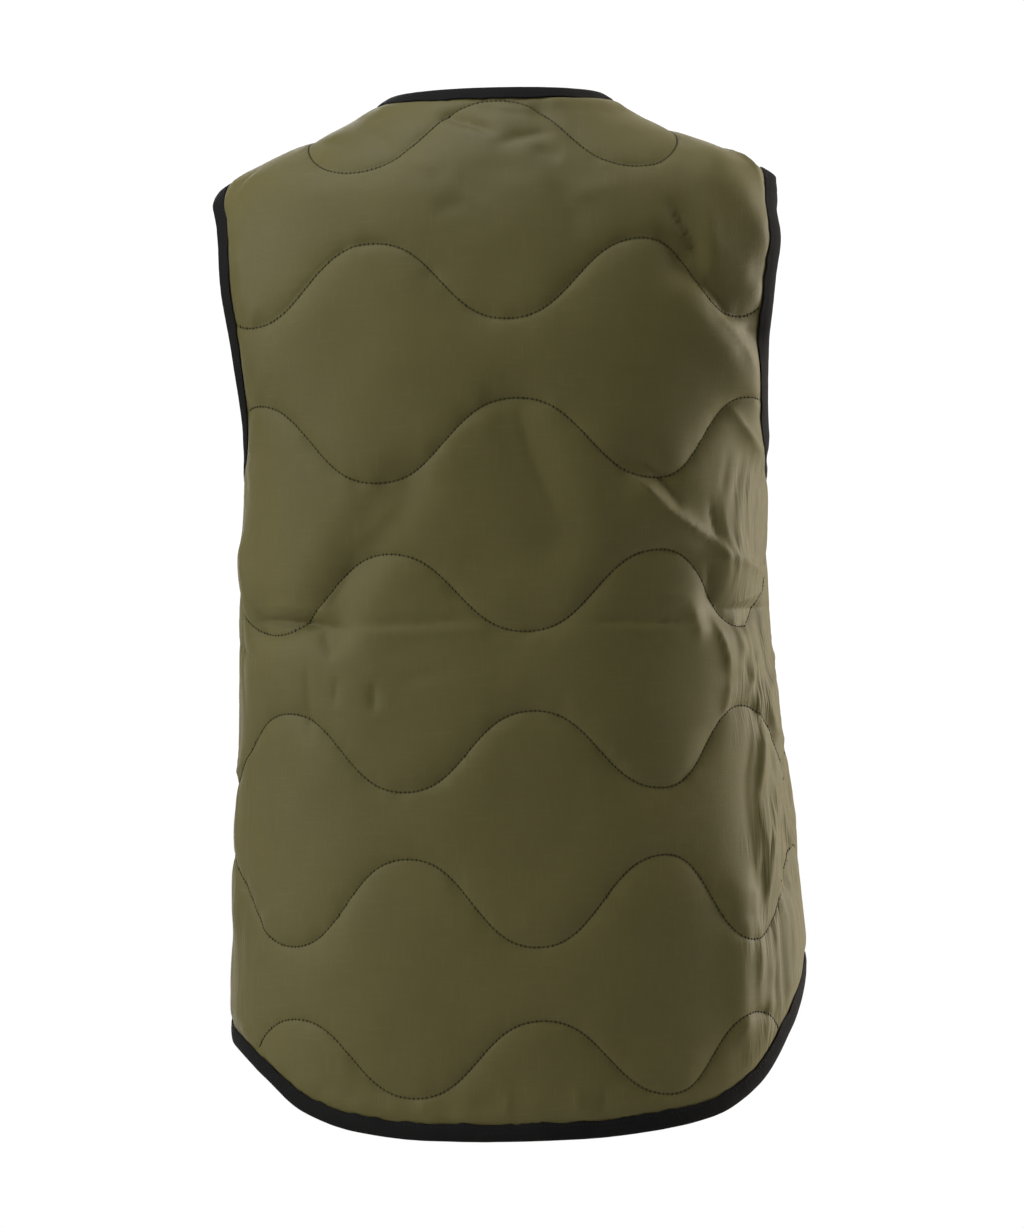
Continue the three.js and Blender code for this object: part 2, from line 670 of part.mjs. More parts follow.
function buildFront(side) {
  const armSteps = ARMHOLE_BASE_STEPS;
  const columns = FRONT_MIDDLE_STEPS + armSteps;
  const upperRows = ARMHOLE_STEPS - armSteps;
  const hemEdge = [];
  for (let column = 0; column <= columns; column += 1) {
    const quarters = lerp(1, lapAround(hemZ(side * 2), side), column / columns);
    const z = hemZ(side * quarters);
    hemEdge.push({ around: column === 0 ? seamAround(z, side, true) : side * quarters, z });
  }
  const arm = armholeEdge(side, true);
  const neckEdge = frontNeckEdge(side, upperRows - FRONT_EDGE_STEPS);
  const turnPlace = { around: side * lapAround(arm[armSteps].z, side), z: arm[armSteps].z };
  const frontEdge = [
    ...between(hemEdge.at(-1), turnPlace, LOWER_STEPS),
    ...between(turnPlace, neckEdge[0], FRONT_EDGE_STEPS).slice(1),
  ];
  const edge = [...hemEdge, ...frontEdge.slice(1), ...neckEdge.slice(1)];
  const corners = [columns, columns + LOWER_STEPS + FRONT_EDGE_STEPS];
  const orient = (path) => (side === LEFT ? reversedPath(path) : path);
  const lastIndex = edge.length - 1;
  const orientedCorners = corners.map((corner) => (side === LEFT ? lastIndex - corner : corner));
  const border = orient(insetChain(orient(edge), orientedCorners));
  const armBorder = reversedPath(orient(insetChain(orient(reversedPath(arm)), [])));

  const turnIndex = columns + LOWER_STEPS;
  const junction = between(armBorder[armSteps], border[turnIndex], FRONT_MIDDLE_STEPS);
  const lowerTop = [...armBorder.slice(0, armSteps), ...junction];
  const lower = fillBlock(
    border.slice(0, columns + 1),
    lowerTop,
    between(border[0], armBorder[0], LOWER_STEPS),
    border.slice(columns, turnIndex + 1),
  );
  const shoulder = between(armBorder.at(-1), border.at(-1), FRONT_MIDDLE_STEPS);
  const upper = fillBlock(junction, shoulder, armBorder.slice(armSteps), border.slice(turnIndex));

  const panel = new Panel(side === LEFT);
  const net = addNet(panel, lower, upper, armSteps, columns);
  const armVertices = [
    ...net[LOWER_STEPS].slice(0, armSteps),
    ...net.slice(LOWER_STEPS).map((row) => row[armSteps]),
  ];
  const borderVertices = [...net[0], ...net.slice(1).map((row) => row[columns])];
  panel.edge = panel.addStrip(borderVertices, edge);
  panel.arm = reversedPath(panel.addStrip(reversedPath(armVertices), reversedPath(arm)));
  panel.hemCorner = columns;
  return panel;
}

// Bindings

function averageStations(first, second) {
  const joined = {};
  for (const key of Object.keys(first)) joined[key] = first[key].clone().lerp(second[key], 0.5);
  return joined;
}

// Joins runs of stations end to end: the last station of one and the first of the next lie on
// the two sides of a seam, and become one
function joinRuns(runs, isClosed) {
  const chain = [...runs[0]];
  for (const run of runs.slice(1)) {
    chain.push(averageStations(chain.pop(), run[0]), ...run.slice(1));
  }
  if (isClosed) chain[0] = averageStations(chain.pop(), chain[0]);
  return chain;
}

// Pulls the first and last stations of an open chain back by half the gap between two bindings
function trimEnds(chain) {
  const trim = (end, next) => {
    const part = BINDING_GAP / 2 / chain[end].edgeOuter.distanceTo(chain[next].edgeOuter);
    const moved = {};
    for (const key of Object.keys(chain[end])) moved[key] = chain[end][key].clone().lerp(chain[next][key], part);
    return moved;
  };
  const last = chain.length - 1;
  const ends = [trim(0, 1), trim(last, last - 1)];
  return [ends[0], ...chain.slice(1, -1), ends[1]];
}

// Direction out of the panel's edge at a station, long enough to keep its distance at a corner
function edgeOutward(chain, index, isClosed) {
  const count = chain.length;
  const here = chain[index];
  const before = isClosed ? (index + count - 1) % count : Math.max(index - 1, 0);
  const after = isClosed ? (index + 1) % count : Math.min(index + 1, count - 1);
  const outward = (from, to) => {
    const direction = chain[to].edgeOuter.clone().sub(chain[from].edgeOuter).cross(here.edgeNormal).normalize();
    return direction.dot(here.edgeOuter.clone().sub(here.borderOuter)) < 0 ? direction.negate() : direction;
  };
  if (before === index) return outward(index, after);
  if (after === index) return outward(before, index);
  const first = outward(before, index);
  const second = outward(index, after);
  return first.clone().add(second).divideScalar(1 + first.dot(second));
}

// Section of the binding at a station: down the inside of the fold and back round its outside
function bindingSection(station, outward) {
  const near = BINDING_GAP;
  const far = BINDING_GAP + BINDING_THICKNESS;
  const corner = (point, normal, rise, reach) =>
    point.clone().addScaledVector(normal, rise).addScaledVector(outward, reach);
  const { borderOuter, borderInner, edgeOuter, edgeInner, borderNormal, edgeNormal } = station;
  return [
    corner(borderOuter, borderNormal, near, 0),
    corner(edgeOuter, edgeNormal, near, near),
    corner(edgeInner, edgeNormal, -near, near),
    corner(borderInner, borderNormal, -near, 0),
    corner(borderInner, borderNormal, -far, 0),
    corner(edgeInner, edgeNormal, -far, far),
    corner(edgeOuter, edgeNormal, far, far),
    corner(borderOuter, borderNormal, far, 0),
  ];
}

const SECTION_CORNERS = 8;
const END_FACES = [[0, 1, 6, 7], [1, 2, 5, 6], [2, 3, 4, 5]];

function buildBinding(chain, isClosed) {
  const outwards = chain.map((_, index) => edgeOutward(chain, index, isClosed));
  const points = chain.flatMap((station, index) => bindingSection(station, outwards[index]));
  const run = chain[1].edgeOuter.clone().sub(chain[0].edgeOuter);
  const isForward = outwards[0].clone().cross(chain[0].edgeNormal).dot(run) > 0;
  const triangles = [];
  const addFace = (corners) => {
    const [a, b, c] = corners;
    triangles.push(isForward ? [a, b, c] : [c, b, a]);
  };
  const segments = isClosed ? chain.length : chain.length - 1;
  for (let segment = 0; segment < segments; segment += 1) {
    const here = chain[segment];
    const next = chain[(segment + 1) % chain.length];
    const isFirst = isFirstDiagonal(here.borderOuter, next.edgeOuter, here.edgeOuter, next.borderOuter);
    const base = segment * SECTION_CORNERS;
    const nextBase = ((segment + 1) % chain.length) * SECTION_CORNERS;
    for (let corner = 0; corner < SECTION_CORNERS; corner += 1) {
      const following = (corner + 1) % SECTION_CORNERS;
      const [a, b, c, d] = [base + corner, base + following, nextBase + following, nextBase + corner];
      const startsAtBorder = corner % 4 === 0;
      if (isFirst === startsAtBorder) {
        addFace([a, b, c]);
        addFace([a, c, d]);
      } else {
        addFace([a, b, d]);
        addFace([b, c, d]);
      }
    }
  }
  if (!isClosed) {
    const lastBase = (chain.length - 1) * SECTION_CORNERS;
    for (const [a, b, c, d] of END_FACES) {
      addFace([a, d, c]);
      addFace([a, c, b]);
      addFace([a + lastBase, b + lastBase, c + lastBase]);
      addFace([a + lastBase, c + lastBase, d + lastBase]);
    }
  }
  return { points, triangles };
}

// Snap caps

function snapGeometry() {
  const points = SNAP_PROFILE.map(
    ({ radius, height }) => new THREE.Vector2(radius * SNAP_RADIUS, height * SNAP_HEIGHT),
  );
  return new THREE.LatheGeometry(points, SNAP_SIDES);
}

// Seats a cap on the flat strip of the upper front, at the centre front line
function buildSnap(number) {
  const z = SNAP_TOP_Z - number * SNAP_PITCH;
  const normal = outwardNormal(clothPoint, 2, z);
  const snap = new THREE.Mesh(snapGeometry(), snapMetal);
  snap.name = `snap_cap_${number + 1}`;
  snap.position.copy(clothPoint(2, z).addScaledVector(normal, SEAM_GAP));
  snap.quaternion.setFromUnitVectors(new THREE.Vector3(0, 1, 0), normal);
  return snap;
}

// The vest

function solidMesh(name, { points, triangles }, material) {
  const geometry = new THREE.BufferGeometry().setFromPoints(points);
  geometry.setIndex(triangles.flat());
  geometry.computeVertexNormals();
  const mesh = new THREE.Mesh(geometry, material);
  mesh.name = name;
  return mesh;
}

function stationsOf(panel, strip) {
  return strip.map((station) => panel.bindingStation(station));
}

const back = buildBack();
const leftFront = buildFront(LEFT);
const rightFront = buildFront(RIGHT);
const leftEdge = stationsOf(leftFront, leftFront.edge);
const rightEdge = stationsOf(rightFront, rightFront.edge);
const leftJoin = leftFront.hemCorner - 1;
const rightJoin = rightFront.hemCorner - 1;

const leftArmholeChain = joinRuns(
  [stationsOf(back, back.leftArm), reversedPath(stationsOf(leftFront, leftFront.arm))],
  true,
);
const rightArmholeChain = joinRuns(
  [stationsOf(back, back.rightArm), reversedPath(stationsOf(rightFront, rightFront.arm))],
  true,
);
const neckAndFrontChain = joinRuns(
  [leftEdge.slice(leftJoin), stationsOf(back, back.neck), reversedPath(rightEdge.slice(rightJoin))],
  false,
);
const hemChain = joinRuns(
  [reversedPath(leftEdge.slice(0, leftJoin + 1)), stationsOf(back, back.hem), rightEdge.slice(0, rightJoin + 1)],
  false,
);

const vest = new THREE.Group();
vest.add(solidMesh("back_panel", back.wall(), quiltedCloth));
vest.add(solidMesh("left_front_panel", leftFront.wall(), quiltedCloth));
vest.add(solidMesh("right_front_panel", rightFront.wall(), quiltedCloth));
vest.add(solidMesh("left_armhole_binding", buildBinding(leftArmholeChain, true), bindingCloth));
vest.add(solidMesh("right_armhole_binding", buildBinding(rightArmholeChain, true), bindingCloth));
vest.add(solidMesh("neck_and_front_binding", buildBinding(trimEnds(neckAndFrontChain), false), bindingCloth));
vest.add(solidMesh("hem_binding", buildBinding(trimEnds(hemChain), false), bindingCloth));
for (let number = 0; number < SNAP_COUNT; number += 1) vest.add(buildSnap(number));

export default vest;
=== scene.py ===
import math

import bpy
import numpy as np
from mathutils import Matrix, Vector, kdtree


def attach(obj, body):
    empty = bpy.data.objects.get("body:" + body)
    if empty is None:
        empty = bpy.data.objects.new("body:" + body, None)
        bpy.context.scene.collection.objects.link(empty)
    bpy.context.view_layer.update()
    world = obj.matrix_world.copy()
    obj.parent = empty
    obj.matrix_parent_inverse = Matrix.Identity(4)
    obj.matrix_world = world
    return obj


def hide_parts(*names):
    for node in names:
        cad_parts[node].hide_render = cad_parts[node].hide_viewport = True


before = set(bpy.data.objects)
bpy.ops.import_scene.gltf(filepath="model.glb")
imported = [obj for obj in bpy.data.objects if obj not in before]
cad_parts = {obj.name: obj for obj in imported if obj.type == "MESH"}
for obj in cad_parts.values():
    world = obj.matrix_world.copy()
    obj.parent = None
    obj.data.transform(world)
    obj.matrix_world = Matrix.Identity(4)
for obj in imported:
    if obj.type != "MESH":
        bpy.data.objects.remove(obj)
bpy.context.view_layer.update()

MM = 0.001

# Cloth, fill and binding
WALL = 2.0
PUFF = 2.5
PUFF_REACH = 6.5
STITCH_SINK = 0.15
SEAM_REACH = 9.0
EDGE_REACH = 4.5
SEAM_LAP = 0.3
BINDING_WIDTH = 8.5
BINDING_THICKNESS = 1.0
BINDING_GAP = 0.3

# Front closure
LAP = 17.0
LAP_RISE = 5.2
LAP_BLEND = (1.72, 1.9)
PLACKET = 34.0
PLACKET_FADE = 22.0
SNAP_COUNT = 5
SNAP_TOP_Z = -150.0
SNAP_PITCH = 104.0
SNAP_GAP = 0.3
FAR_FROM_BINDING = 99.0

# Openings
NECK_BACK_RISE = 5.0
NECK_SIDE_RISE = 6.5
NECK_HALF_WIDTH = 69.5
NECK_FRONT_DROP = 118.0
NECK_FRONT_CURVE = 1.6
ARMHOLE_TOP_Z = -50.0
ARMHOLE_BASE_Z = -238.0
ARMHOLE_BACK_REACH = 60.0
ARMHOLE_FRONT_REACH = 66.0
ARMHOLE_SQUARENESS = 2.2
HEM_LOW_Z = -660.0

LEFT = -1
RIGHT = 1

# Columns of the sections that give the form of each side and face
SIDE_COLUMN = {LEFT: "left", RIGHT: "right"}
FACE_COLUMN = {False: "back", True: "front"}


def table(names, rows):
    """Rows of numbers under named columns."""
    return np.array(rows, dtype=[(name, float) for name in names.split()])


# Horizontal sections of the body's form: distances from the Z axis, and the power of the
# superellipse that joins them, 2 for a round one
RINGS = table("z left right back front square", [
    (-700, 184, 195, 125, 125, 2.3),
    (-610, 184, 193, 124, 124, 2.3),
    (-530, 180, 189, 122, 122, 2.35),
    (-430, 175, 179, 118, 120, 2.4),
    (-330, 173, 170, 116, 120, 2.45),
    (-235, 168, 172, 118, 122, 2.5),
    (-160, 184, 191, 114, 120, 2.5),
    (-105, 196, 201, 106, 114, 2.35),
    (-65, 193, 192, 96, 106, 2.15),
    (-50, 181, 181, 90, 102, 2.05),
    (-42, 166, 169, 87, 99, 1.95),
    (-26, 131, 131, 79, 92, 1.85),
    (-12, 98, 99, 70, 84, 1.85),
    (0, 80, 80, 62, 76, 2.0),
    (14, 62, 62, 52, 62, 2.0),
])

# How far the hem climbs above its lowest point
HEM_CLIMB = table("around left right", [
    (0, 0, 0),
    (0.2, 1, 1),
    (0.38, 6, 5),
    (0.53, 17, 12),
    (0.66, 36, 29),
    (0.79, 50, 60),
    (0.92, 56, 86),
    (1.0, 60, 95),
    (1.12, 56, 86),
    (1.35, 42, 53),
    (1.6, 32, 34),
    (1.85, 28, 28),
    (2.1, 27, 27),
])

# Rows of wavy quilting: middle is the crest or hollow nearest the centre back
STITCH_ROWS = table("height middle period swing", [
    (-26, 4, 183, 23),
    (-121, 13, 172, -25),
    (-222, 17, 179, 26),
    (-318, 21, 174, -25),
    (-418, 24, 164, 25),
    (-513, 25, 164, -28),
    (-611, 27, 163, 24),
])
# The rows' crests and hollows are a little fuller than a plain wave's. The wearer's right side is
# gathered, so the waves run closer together past GATHER_FROM.
CREST_FULLNESS = 0.05
GATHER_FROM = 105.0
GATHER = 0.35

# Folds of the whole wall, and the finer creases that lie between them. Each runs from a start to
# an end, given as the distance across from the centre back and z. height is positive for a ridge,
# bow is how far the middle bulges sideways, lean narrows the side on the left of the run where it
# is negative and the right one where it is positive, and sharp is 2 for a round crest and 1 for a
# pointed one.
FOLDS = table("across z end_across end_z height width", [
    (150, -52, 184, -94, 5, 16),
    (126, -114, 168, -156, -6, 15),
    (134, -130, 196, -222, 5, 18),
    (92, -240, 138, -282, -5, 14),
    (101, -256, 156, -300, 5, 16),
    (146, -333, 188, -335, -4, 14),
    (200, -385, 188, -500, 3, 15),
    (222, -420, 206, -500, -3, 14),
    (158, -515, 160, -590, 4, 15),
    (16, -200, 43, -280, -3, 20),
    (-54, -250, -102, -318, -4, 17),
    (-160, -333, -104, -338, -5, 15),
    (-188, -292, -178, -326, 4, 15),
    (-196, -432, -206, -520, 3, 17),
    (-300, -262, -380, -330, -5, 17),
    (-290, -470, -300, -580, 4, 18),
    (-400, -420, -340, -500, -4, 17),
    (304, -250, 372, -318, -5, 17),
    (296, -440, 310, -560, 4, 18),
    (350, -560, 400, -500, -4, 17),
])
CREASES = table("across z end_across end_z bow height width lean sharp", [
    # Right shoulder and the cloth beside the armhole
    (174, -26, 185, -97, 5, 2.8, 4.5, 0.3, 1.1),
    (112, -71, 138, -116, 2, -3.6, 4, 0.3, 1.2),
    (128, -115, 159, -153, 3, -2.4, 4, 0, 1.2),
    (103, -87, 124, -111, 0, -1.8, 5, 0, 1.4),
    (134, -129, 195, -209, 4, 2.2, 6, 0.4, 1.2),
    (159, -155, 187, -156, 1, -1.3, 3, 0, 1.2),
    (136, -64, 145, -111, 2, 1.6, 6, 0, 1.4),
    (156, -201, 203, -238, -3, 2, 3.5, 0, 1),
    (175, -198, 203, -224, 0, 1.6, 3, 0, 1),
    # Pocket below the right end of the third row
    (96, -236, 122, -268, 2, -2.8, 4.5, 0, 1.2),
    (84, -240, 112, -266, -1, 2.8, 3.2, 0.3, 1),
    (106, -264, 148, -289, -2, 3.6, 3.4, 0.3, 1),
    (145, -286, 155, -301, 0, 2.6, 3, 0, 1),
    (148, -294, 214, -311, -1, 2.6, 3, -0.3, 1),
    (142, -262, 151, -296, -1, -2.2, 2.2, 0, 1),
    (151, -255, 157, -294, 0, 1, 5, 0.5, 1),
    (167, -255, 162, -300, 1, 1.4, 3, 0, 1),
    (178, -242, 172, -301, 1, 1.5, 3, 0.3, 1),
    (191, -245, 184, -303, 1, 1.3, 3, 0, 1),
    (206, -261, 200, -307, 0, 1.3, 3, 0, 1),
    (139, -300, 145, -330, 0, -2.8, 4, 0, 1.1),
    (156, -329, 215, -315, -2, 2, 3.5, 0, 1),
    (144, -332, 228, -332, 1, -2.4, 3.5, 0, 1),
    (126, -327, 134, -351, 1, 2, 7, 0.3, 1.5),
    # Side where it turns into the light, fourth row to fifth
    (144, -336, 155, -377, 2, 2.8, 5, 0.5, 1),
    (155, -375, 149, -402, 1, 1.6, 5, 0.4, 1.2),
    (163, -335, 171, -365, 0, 1.5, 4, 0, 1.1),
    (170, -358, 172, -381, 0, -1.6, 3, 0, 1),
    (189, -356, 173, -382, 0, 1.7, 3, 0, 1),
    (247, -347, 187, -390, -1, 2, 3.5, 0, 1),
    (188, -387, 198, -412, 0, 2, 3, 0, 1),
    (196, -408, 247, -442, 1, 2, 3, 0, 1),
    (181, -382, 184, -406, -1, 2, 3.5, 0.3, 1),
    (184, -401, 174, -454, 1, 2.6, 4, 0.4, 1),
    (174, -450, 178, -488, 0, 1.8, 4, 0.3, 1.1),
    (189, -414, 195, -448, 0, -1.6, 3, 0, 1),
    (208, -417, 202, -455, 0, 1.8, 3.5, 0.2, 1),
    (193, -452, 184, -489, 0, 1.6, 3.5, 0, 1),
    # Leaf of cloth above the sixth row and the gathers below it
    (248, -447, 191, -513, 4, 2.8, 4, -0.4, 1),
    (174, -489, 169, -527, 0, -1.5, 3, 0, 1),
    (168, -507, 166, -526, 0, 1.2, 3, 0, 1),
    (186, -477, 176, -524, 1, 1.5, 3, 0, 1),
    (202, -502, 218, -520, 0, -1.3, 3, 0, 1),
    (173, -530, 170, -571, 1, 2.2, 4, -0.4, 1.1),
    (162, -529, 162, -556, 0, 1.2, 4, 0, 1.3),
    (188, -533, 182, -572, 0, 1.3, 4, 0, 1.2),
    (208, -518, 206, -574, 1, 1.4, 4, 0, 1.2),
    (180, -575, 177, -612, 0, 2, 3.5, 0.2, 1.1),
    (166, -580, 153, -606, 0, 1.2, 5, 0, 1.4),
    (189, -588, 198, -608, 0, -1.4, 3, 0, 1.1),
    # Upper back under the neck
    (-31, -13, 7, -27, 1, -3.2, 4, 0.2, 1.2),
    (5, -34, 42, -26, 1, -2.8, 4.5, 0.2, 1.2),
    (29, -37, 47, -44, 0, -2, 4, 0, 1.3),
    (-19, -4, 30, -15, -1, -1.4, 4, 0, 1.4),
    (-34, -78, -12, -73, 1, -1.1, 5, 0, 1.5),
    (-22, -56, 4, -69, 0, -1, 7, 0, 1.6),
    (34, -58, 62, -96, 3, -1.1, 6, 0.3, 1.4),
    (52, -70, 84, -64, 1, 0.9, 5, 0, 1.4),
    (-95, -8, -57, -40, -1, -1.8, 5, 0.3, 1.3),
    (-140, -28, -96, -23, 1, 1.5, 7, 0.3, 1.4),
    (-148, -20, -74, -30, -2, -1.6, 4, 0.3, 1.2),
    (-180, -58, -165, -39, 0, -1.5, 5, 0, 1.4),
    (-45, -42, -32, -53, 0, 1.2, 4, 0, 1.4),
    # Middle of the back
    (17, -195, 44, -273, -4, -0.9, 5, 0.5, 1.4),
    (-92, -337, -4, -336, 0, -1.5, 2.6, 0.3, 1),
    (-88, -343, -8, -342, 0, 0.7, 4, 0, 1.3),
    (56, -337, 140, -339, 0, -1.5, 2.6, 0.3, 1),
    (60, -343, 136, -345, 0, 0.8, 4, 0, 1.3),
    (68, -321, 136, -324, 1, 0.6, 3, 0, 1.2),
    (-6, -391, 23, -397, 2, -0.5, 6, 0, 1.6),
    (-82, -375, -74, -393, 1, -0.8, 4, 0, 1.2),
    # Left side
    (-56, -257, -91, -289, 0, 1.4, 8, 0, 1.6),
    (-88, -290, -110, -326, 2, -1.4, 6, 0.3, 1.3),
    (-96, -340, -172, -333, -2, -4.6, 2.8, 0.2, 1),
    (-102, -331, -166, -325, -2, 2, 5, 0, 1.3),
    (-115, -341, -104, -358, 0, -3, 2.6, 0, 1),
    (-185, -286, -167, -332, -2, 1.6, 3, 0, 1),
    (-219, -347, -170, -358, 0, -2.2, 3, 0, 1),
    (-123, -357, -123, -411, 0, -1.4, 3, 0, 1.1),
    (-102, -370, -103, -388, 0, -1.2, 2.4, 0, 1.1),
    (-76, -372, -77, -392, 0, -1.3, 2.4, 0, 1.1),
    (-60, -372, -18, -366, 0, -0.7, 4, 0, 1.4),
    (-212, -435, -175, -418, 0, 1.5, 4, 0, 1),
    (-151, -129, -163, -154, 0, 0.9, 6, 0, 1.5),
    (-156, -512, -170, -552, 0, 0.8, 7, 0, 1.6),
    # Puckers above the hem
    (-144, -614, -143, -643, 1, 1.2, 3.5, 0, 1.2),
    (-50, -631, -51, -654, 1, 1.3, 3.5, 0, 1.2),
    (5, -630, 2, -656, 0, 1.2, 3, 0, 1.2),
    (48, -627, 45, -655, 1, 1.4, 3.5, 0, 1.2),
    (65, -627, 63, -654, 0, -1, 3, 0, 1.2),
    (99, -622, 104, -649, 1, 1, 3, 0, 1.2),
    # Fronts
    (-268, -214, -330, -236, 4, -1.8, 5, 0.0, 1.5),
    (-262, -300, -330, -318, -6, 1.6, 5, 0.0, 1.5),
    (-300, -262, -384, -334, -8, -1.8, 6, 0.3, 1.5),
    (-252, -386, -262, -480, 5, 1.6, 5, 0.0, 1.5),
    (-330, -410, -404, -396, 5, -1.4, 5, 0.0, 1.5),
    (-290, -500, -298, -606, 4, 1.6, 6, 0.0, 1.5),
    (-352, -560, -420, -520, -6, -1.6, 6, 0.0, 1.5),
    (-310, -96, -352, -150, 6, -1.2, 7, 0.0, 1.5),
    (262, -218, 322, -240, -4, -1.8, 5, 0.0, 1.5),
    (256, -330, 318, -344, 6, 1.6, 5, 0.0, 1.5),
    (304, -250, 380, -324, 8, -1.8, 6, -0.3, 1.5),
    (248, -396, 256, -500, 5, 1.8, 5, 0.0, 1.5),
    (332, -400, 396, -420, -5, -1.4, 5, 0.0, 1.5),
    (296, -440, 312, -566, 6, 1.4, 6, 0.0, 1.5),
    (348, -562, 410, -500, 6, -1.6, 6, 0.0, 1.5),
    (312, -100, 350, -156, -6, -1.2, 7, 0.0, 1.5),
])
# A crease rises between the first two parts of its length, and falls between the other two
CREASE_START = -0.12, 0.35
CREASE_END = 0.65, 1.12

# Places where the cloth is drawn together in many fine upright creases
GATHERS = table("across z half_across half_z pitch length height", [
    (184, -276, 34, 40, 7, 60, 1.2),
    (196, -366, 36, 36, 7, 70, 1.3),
    (200, -460, 38, 74, 8, 90, 1.5),
    (188, -566, 32, 50, 9, 80, 1.0),
    (-200, -330, 26, 60, 10, 70, 0.8),
    (-206, -480, 28, 90, 11, 90, 0.7),
    (250, -420, 34, 130, 9, 90, 1.2),
    (-262, -420, 34, 130, 10, 90, 1.0),
])
GATHER_FADE_ACROSS = 0.5, 1.2
GATHER_FADE_Z = 0.5, 1.3
GATHER_WANDER = 6
GATHER_WANDER_SIZE = 40, 45
GATHER_WANDER_SEED = 31
GATHER_SEED = 51
GATHER_LEVEL = 0.45
GATHER_STEEPNESS = 1.6

# Unevenness of the cloth between its creases: height, size across and along z, and seed. The
# puckers fade with the distance from stitches, bindings and side seams.
RIPPLES = {
    "broad wave": (1.1, 74, 82, 3),
    "small wave": (0.5, 29, 33, 5),
    "stitch pucker": (0.55, 8.5, 9.5, 7),
    "edge pucker": (1.5, 11, 13, 11),
    "seam pucker": (0.7, 9, 10, 13),
}
STITCH_PUCKER_REACH = 7.0
EDGE_PUCKER_REACH = 12.0
SEAM_PUCKER_REACH = 10.0
SEAM_PUCKER_START = 5.0
CREASE_FREE_EDGE = 14.0
CREASE_FREE_SEAM = 10.0
CREASES_ON_PLACKET = 0.25
SEAM_ROLL = -1.3
SEAM_ROLL_WIDTH = 1.8

# Net of the cloth: steps along each edge of the pieces, about 2 mm each
DETAIL = 8
ARMHOLE_STEPS = 14 * DETAIL
ARMHOLE_BASE_STEPS = 3 * DETAIL
BACK_MIDDLE_STEPS = 24 * DETAIL
BACK_NECK_STEPS = 12 * DETAIL
FRONT_MIDDLE_STEPS = 12 * DETAIL
FRONT_EDGE_STEPS = 4 * DETAIL
LOWER_STEPS = 24 * DETAIL
CORNER_STEPS = 9
NEAREST_STEP = 0.6
BUNCHING = 0.35
ARC_STEPS = 400
Z_STEP = 2.0
Z_LINES = np.arange(-720.0, 40.0, Z_STEP)
PROBE_AROUND = 0.01
PROBE_Z = 1.5

# Sewing. Each bead of thread, and each dark prick of painted needle-hole shade, is a few rings round
# its run.
STITCH_LENGTH = 1.9
STITCH_PITCH = 2.9
THREAD_RADIUS = 0.26
THREAD_LIFT = 0.1
PRICK_LENGTH = 2.2
PRICK_RADIUS = 0.52
PRICK_LIFT = 0.1
STITCH_SIDES = 6
STITCH_RINGS = table("along radius sink", [
    (-0.5, 0.35, 0.32),
    (-0.25, 0.95, 0.02),
    (0.25, 0.95, 0.02),
    (0.5, 0.35, 0.32),
])

# Unevenness of the stitches, as its size and how fast it changes from one to the next
PLACE_SPREAD = 0.25, 0.9
LENGTH_SPREAD = 0.12, 0.7
PRICK_SPREAD = 0.4, 1.3

# A stitch row is followed from column to column of the net: how many steps it may jump, how few
# places make a row, and how near a binding it stops
STEEPEST_JUMP = 8
SHORTEST_ROW = 4
CLEAR_OF_BINDING = 1.5

# The tape's section, from its free edge on the outside round to the one on the inside. place goes
# from 0 at the border of the panel to 1 at its edge, and rise is the height over the cloth.
TAPE_FACE = table("place rise", [
    (-0.02, 0.45),
    (-0.05, 0.85),
    (0.0, 1.18),
    (0.08, 1.34),
    (0.2, 1.22),
    (0.34, 1.5),
    (0.55, 1.62),
    (0.78, 1.58),
    (0.95, 1.42),
])
TAPE_TURN = np.radians([55, 20, -20, -55])
TAPE_STITCH = 4
TAPE_ROUND = BINDING_GAP + BINDING_THICKNESS + 0.12
TAPE_SEED = 200
TAPE_FOLD_PLACE = 1.2

# Waves along the tape, as size and length: of the line of its faces, and of its thickness
TAPE_WOBBLE = (0.08, 7.0), (0.05, 3.2)
TAPE_SWELL = (0.22, 12.0), (0.12, 5.0)
SWELL_ON_FACE = 0.5
SWELL_ON_FOLD = 0.3

# Snap caps
CAP_SIDES = 40
CAP_PROFILE = table("radius height", [
    (5.55, 0.0),
    (5.95, 0.35),
    (6.0, 0.85),
    (5.8, 1.5),
    (5.35, 2.1),
    (4.7, 2.45),
    (4.15, 2.5),
    (3.9, 2.42),
    (3.7, 2.45),
    (2.6, 2.62),
    (1.3, 2.76),
])
CAP_TOP = 2.8

# Threads, and the painted shade of the needle holes: a light and a dark tone of each
OLIVE_THREAD = (0.042, 0.037, 0.012, 1), (0.032, 0.028, 0.009, 1)
# Painted shade of the needle holes: the colour of the dark pricks between the stitches
NEEDLE_HOLE_SHADE = (0.014, 0.013, 0.005, 1), (0.008, 0.007, 0.003, 1)
BLACK_THREAD = (0.008, 0.008, 0.008, 1), (0.004, 0.004, 0.004, 1)

# Photographed view: turned a little from straight behind, nearly level
CAMERA_TURN = math.radians(4.0)
CAMERA_ROLL = math.radians(1.1)
CAMERA_DISTANCE = 2600.0
CAMERA_Z = -332.0
CAMERA_SHIFT = 4.0
FRAME_HEIGHT = 806.8
SENSOR_SIZE = 36.0
FLOOR_Z = -860.0
FLOOR_REACH = 9000.0
WORLD_STRENGTH = 0.26

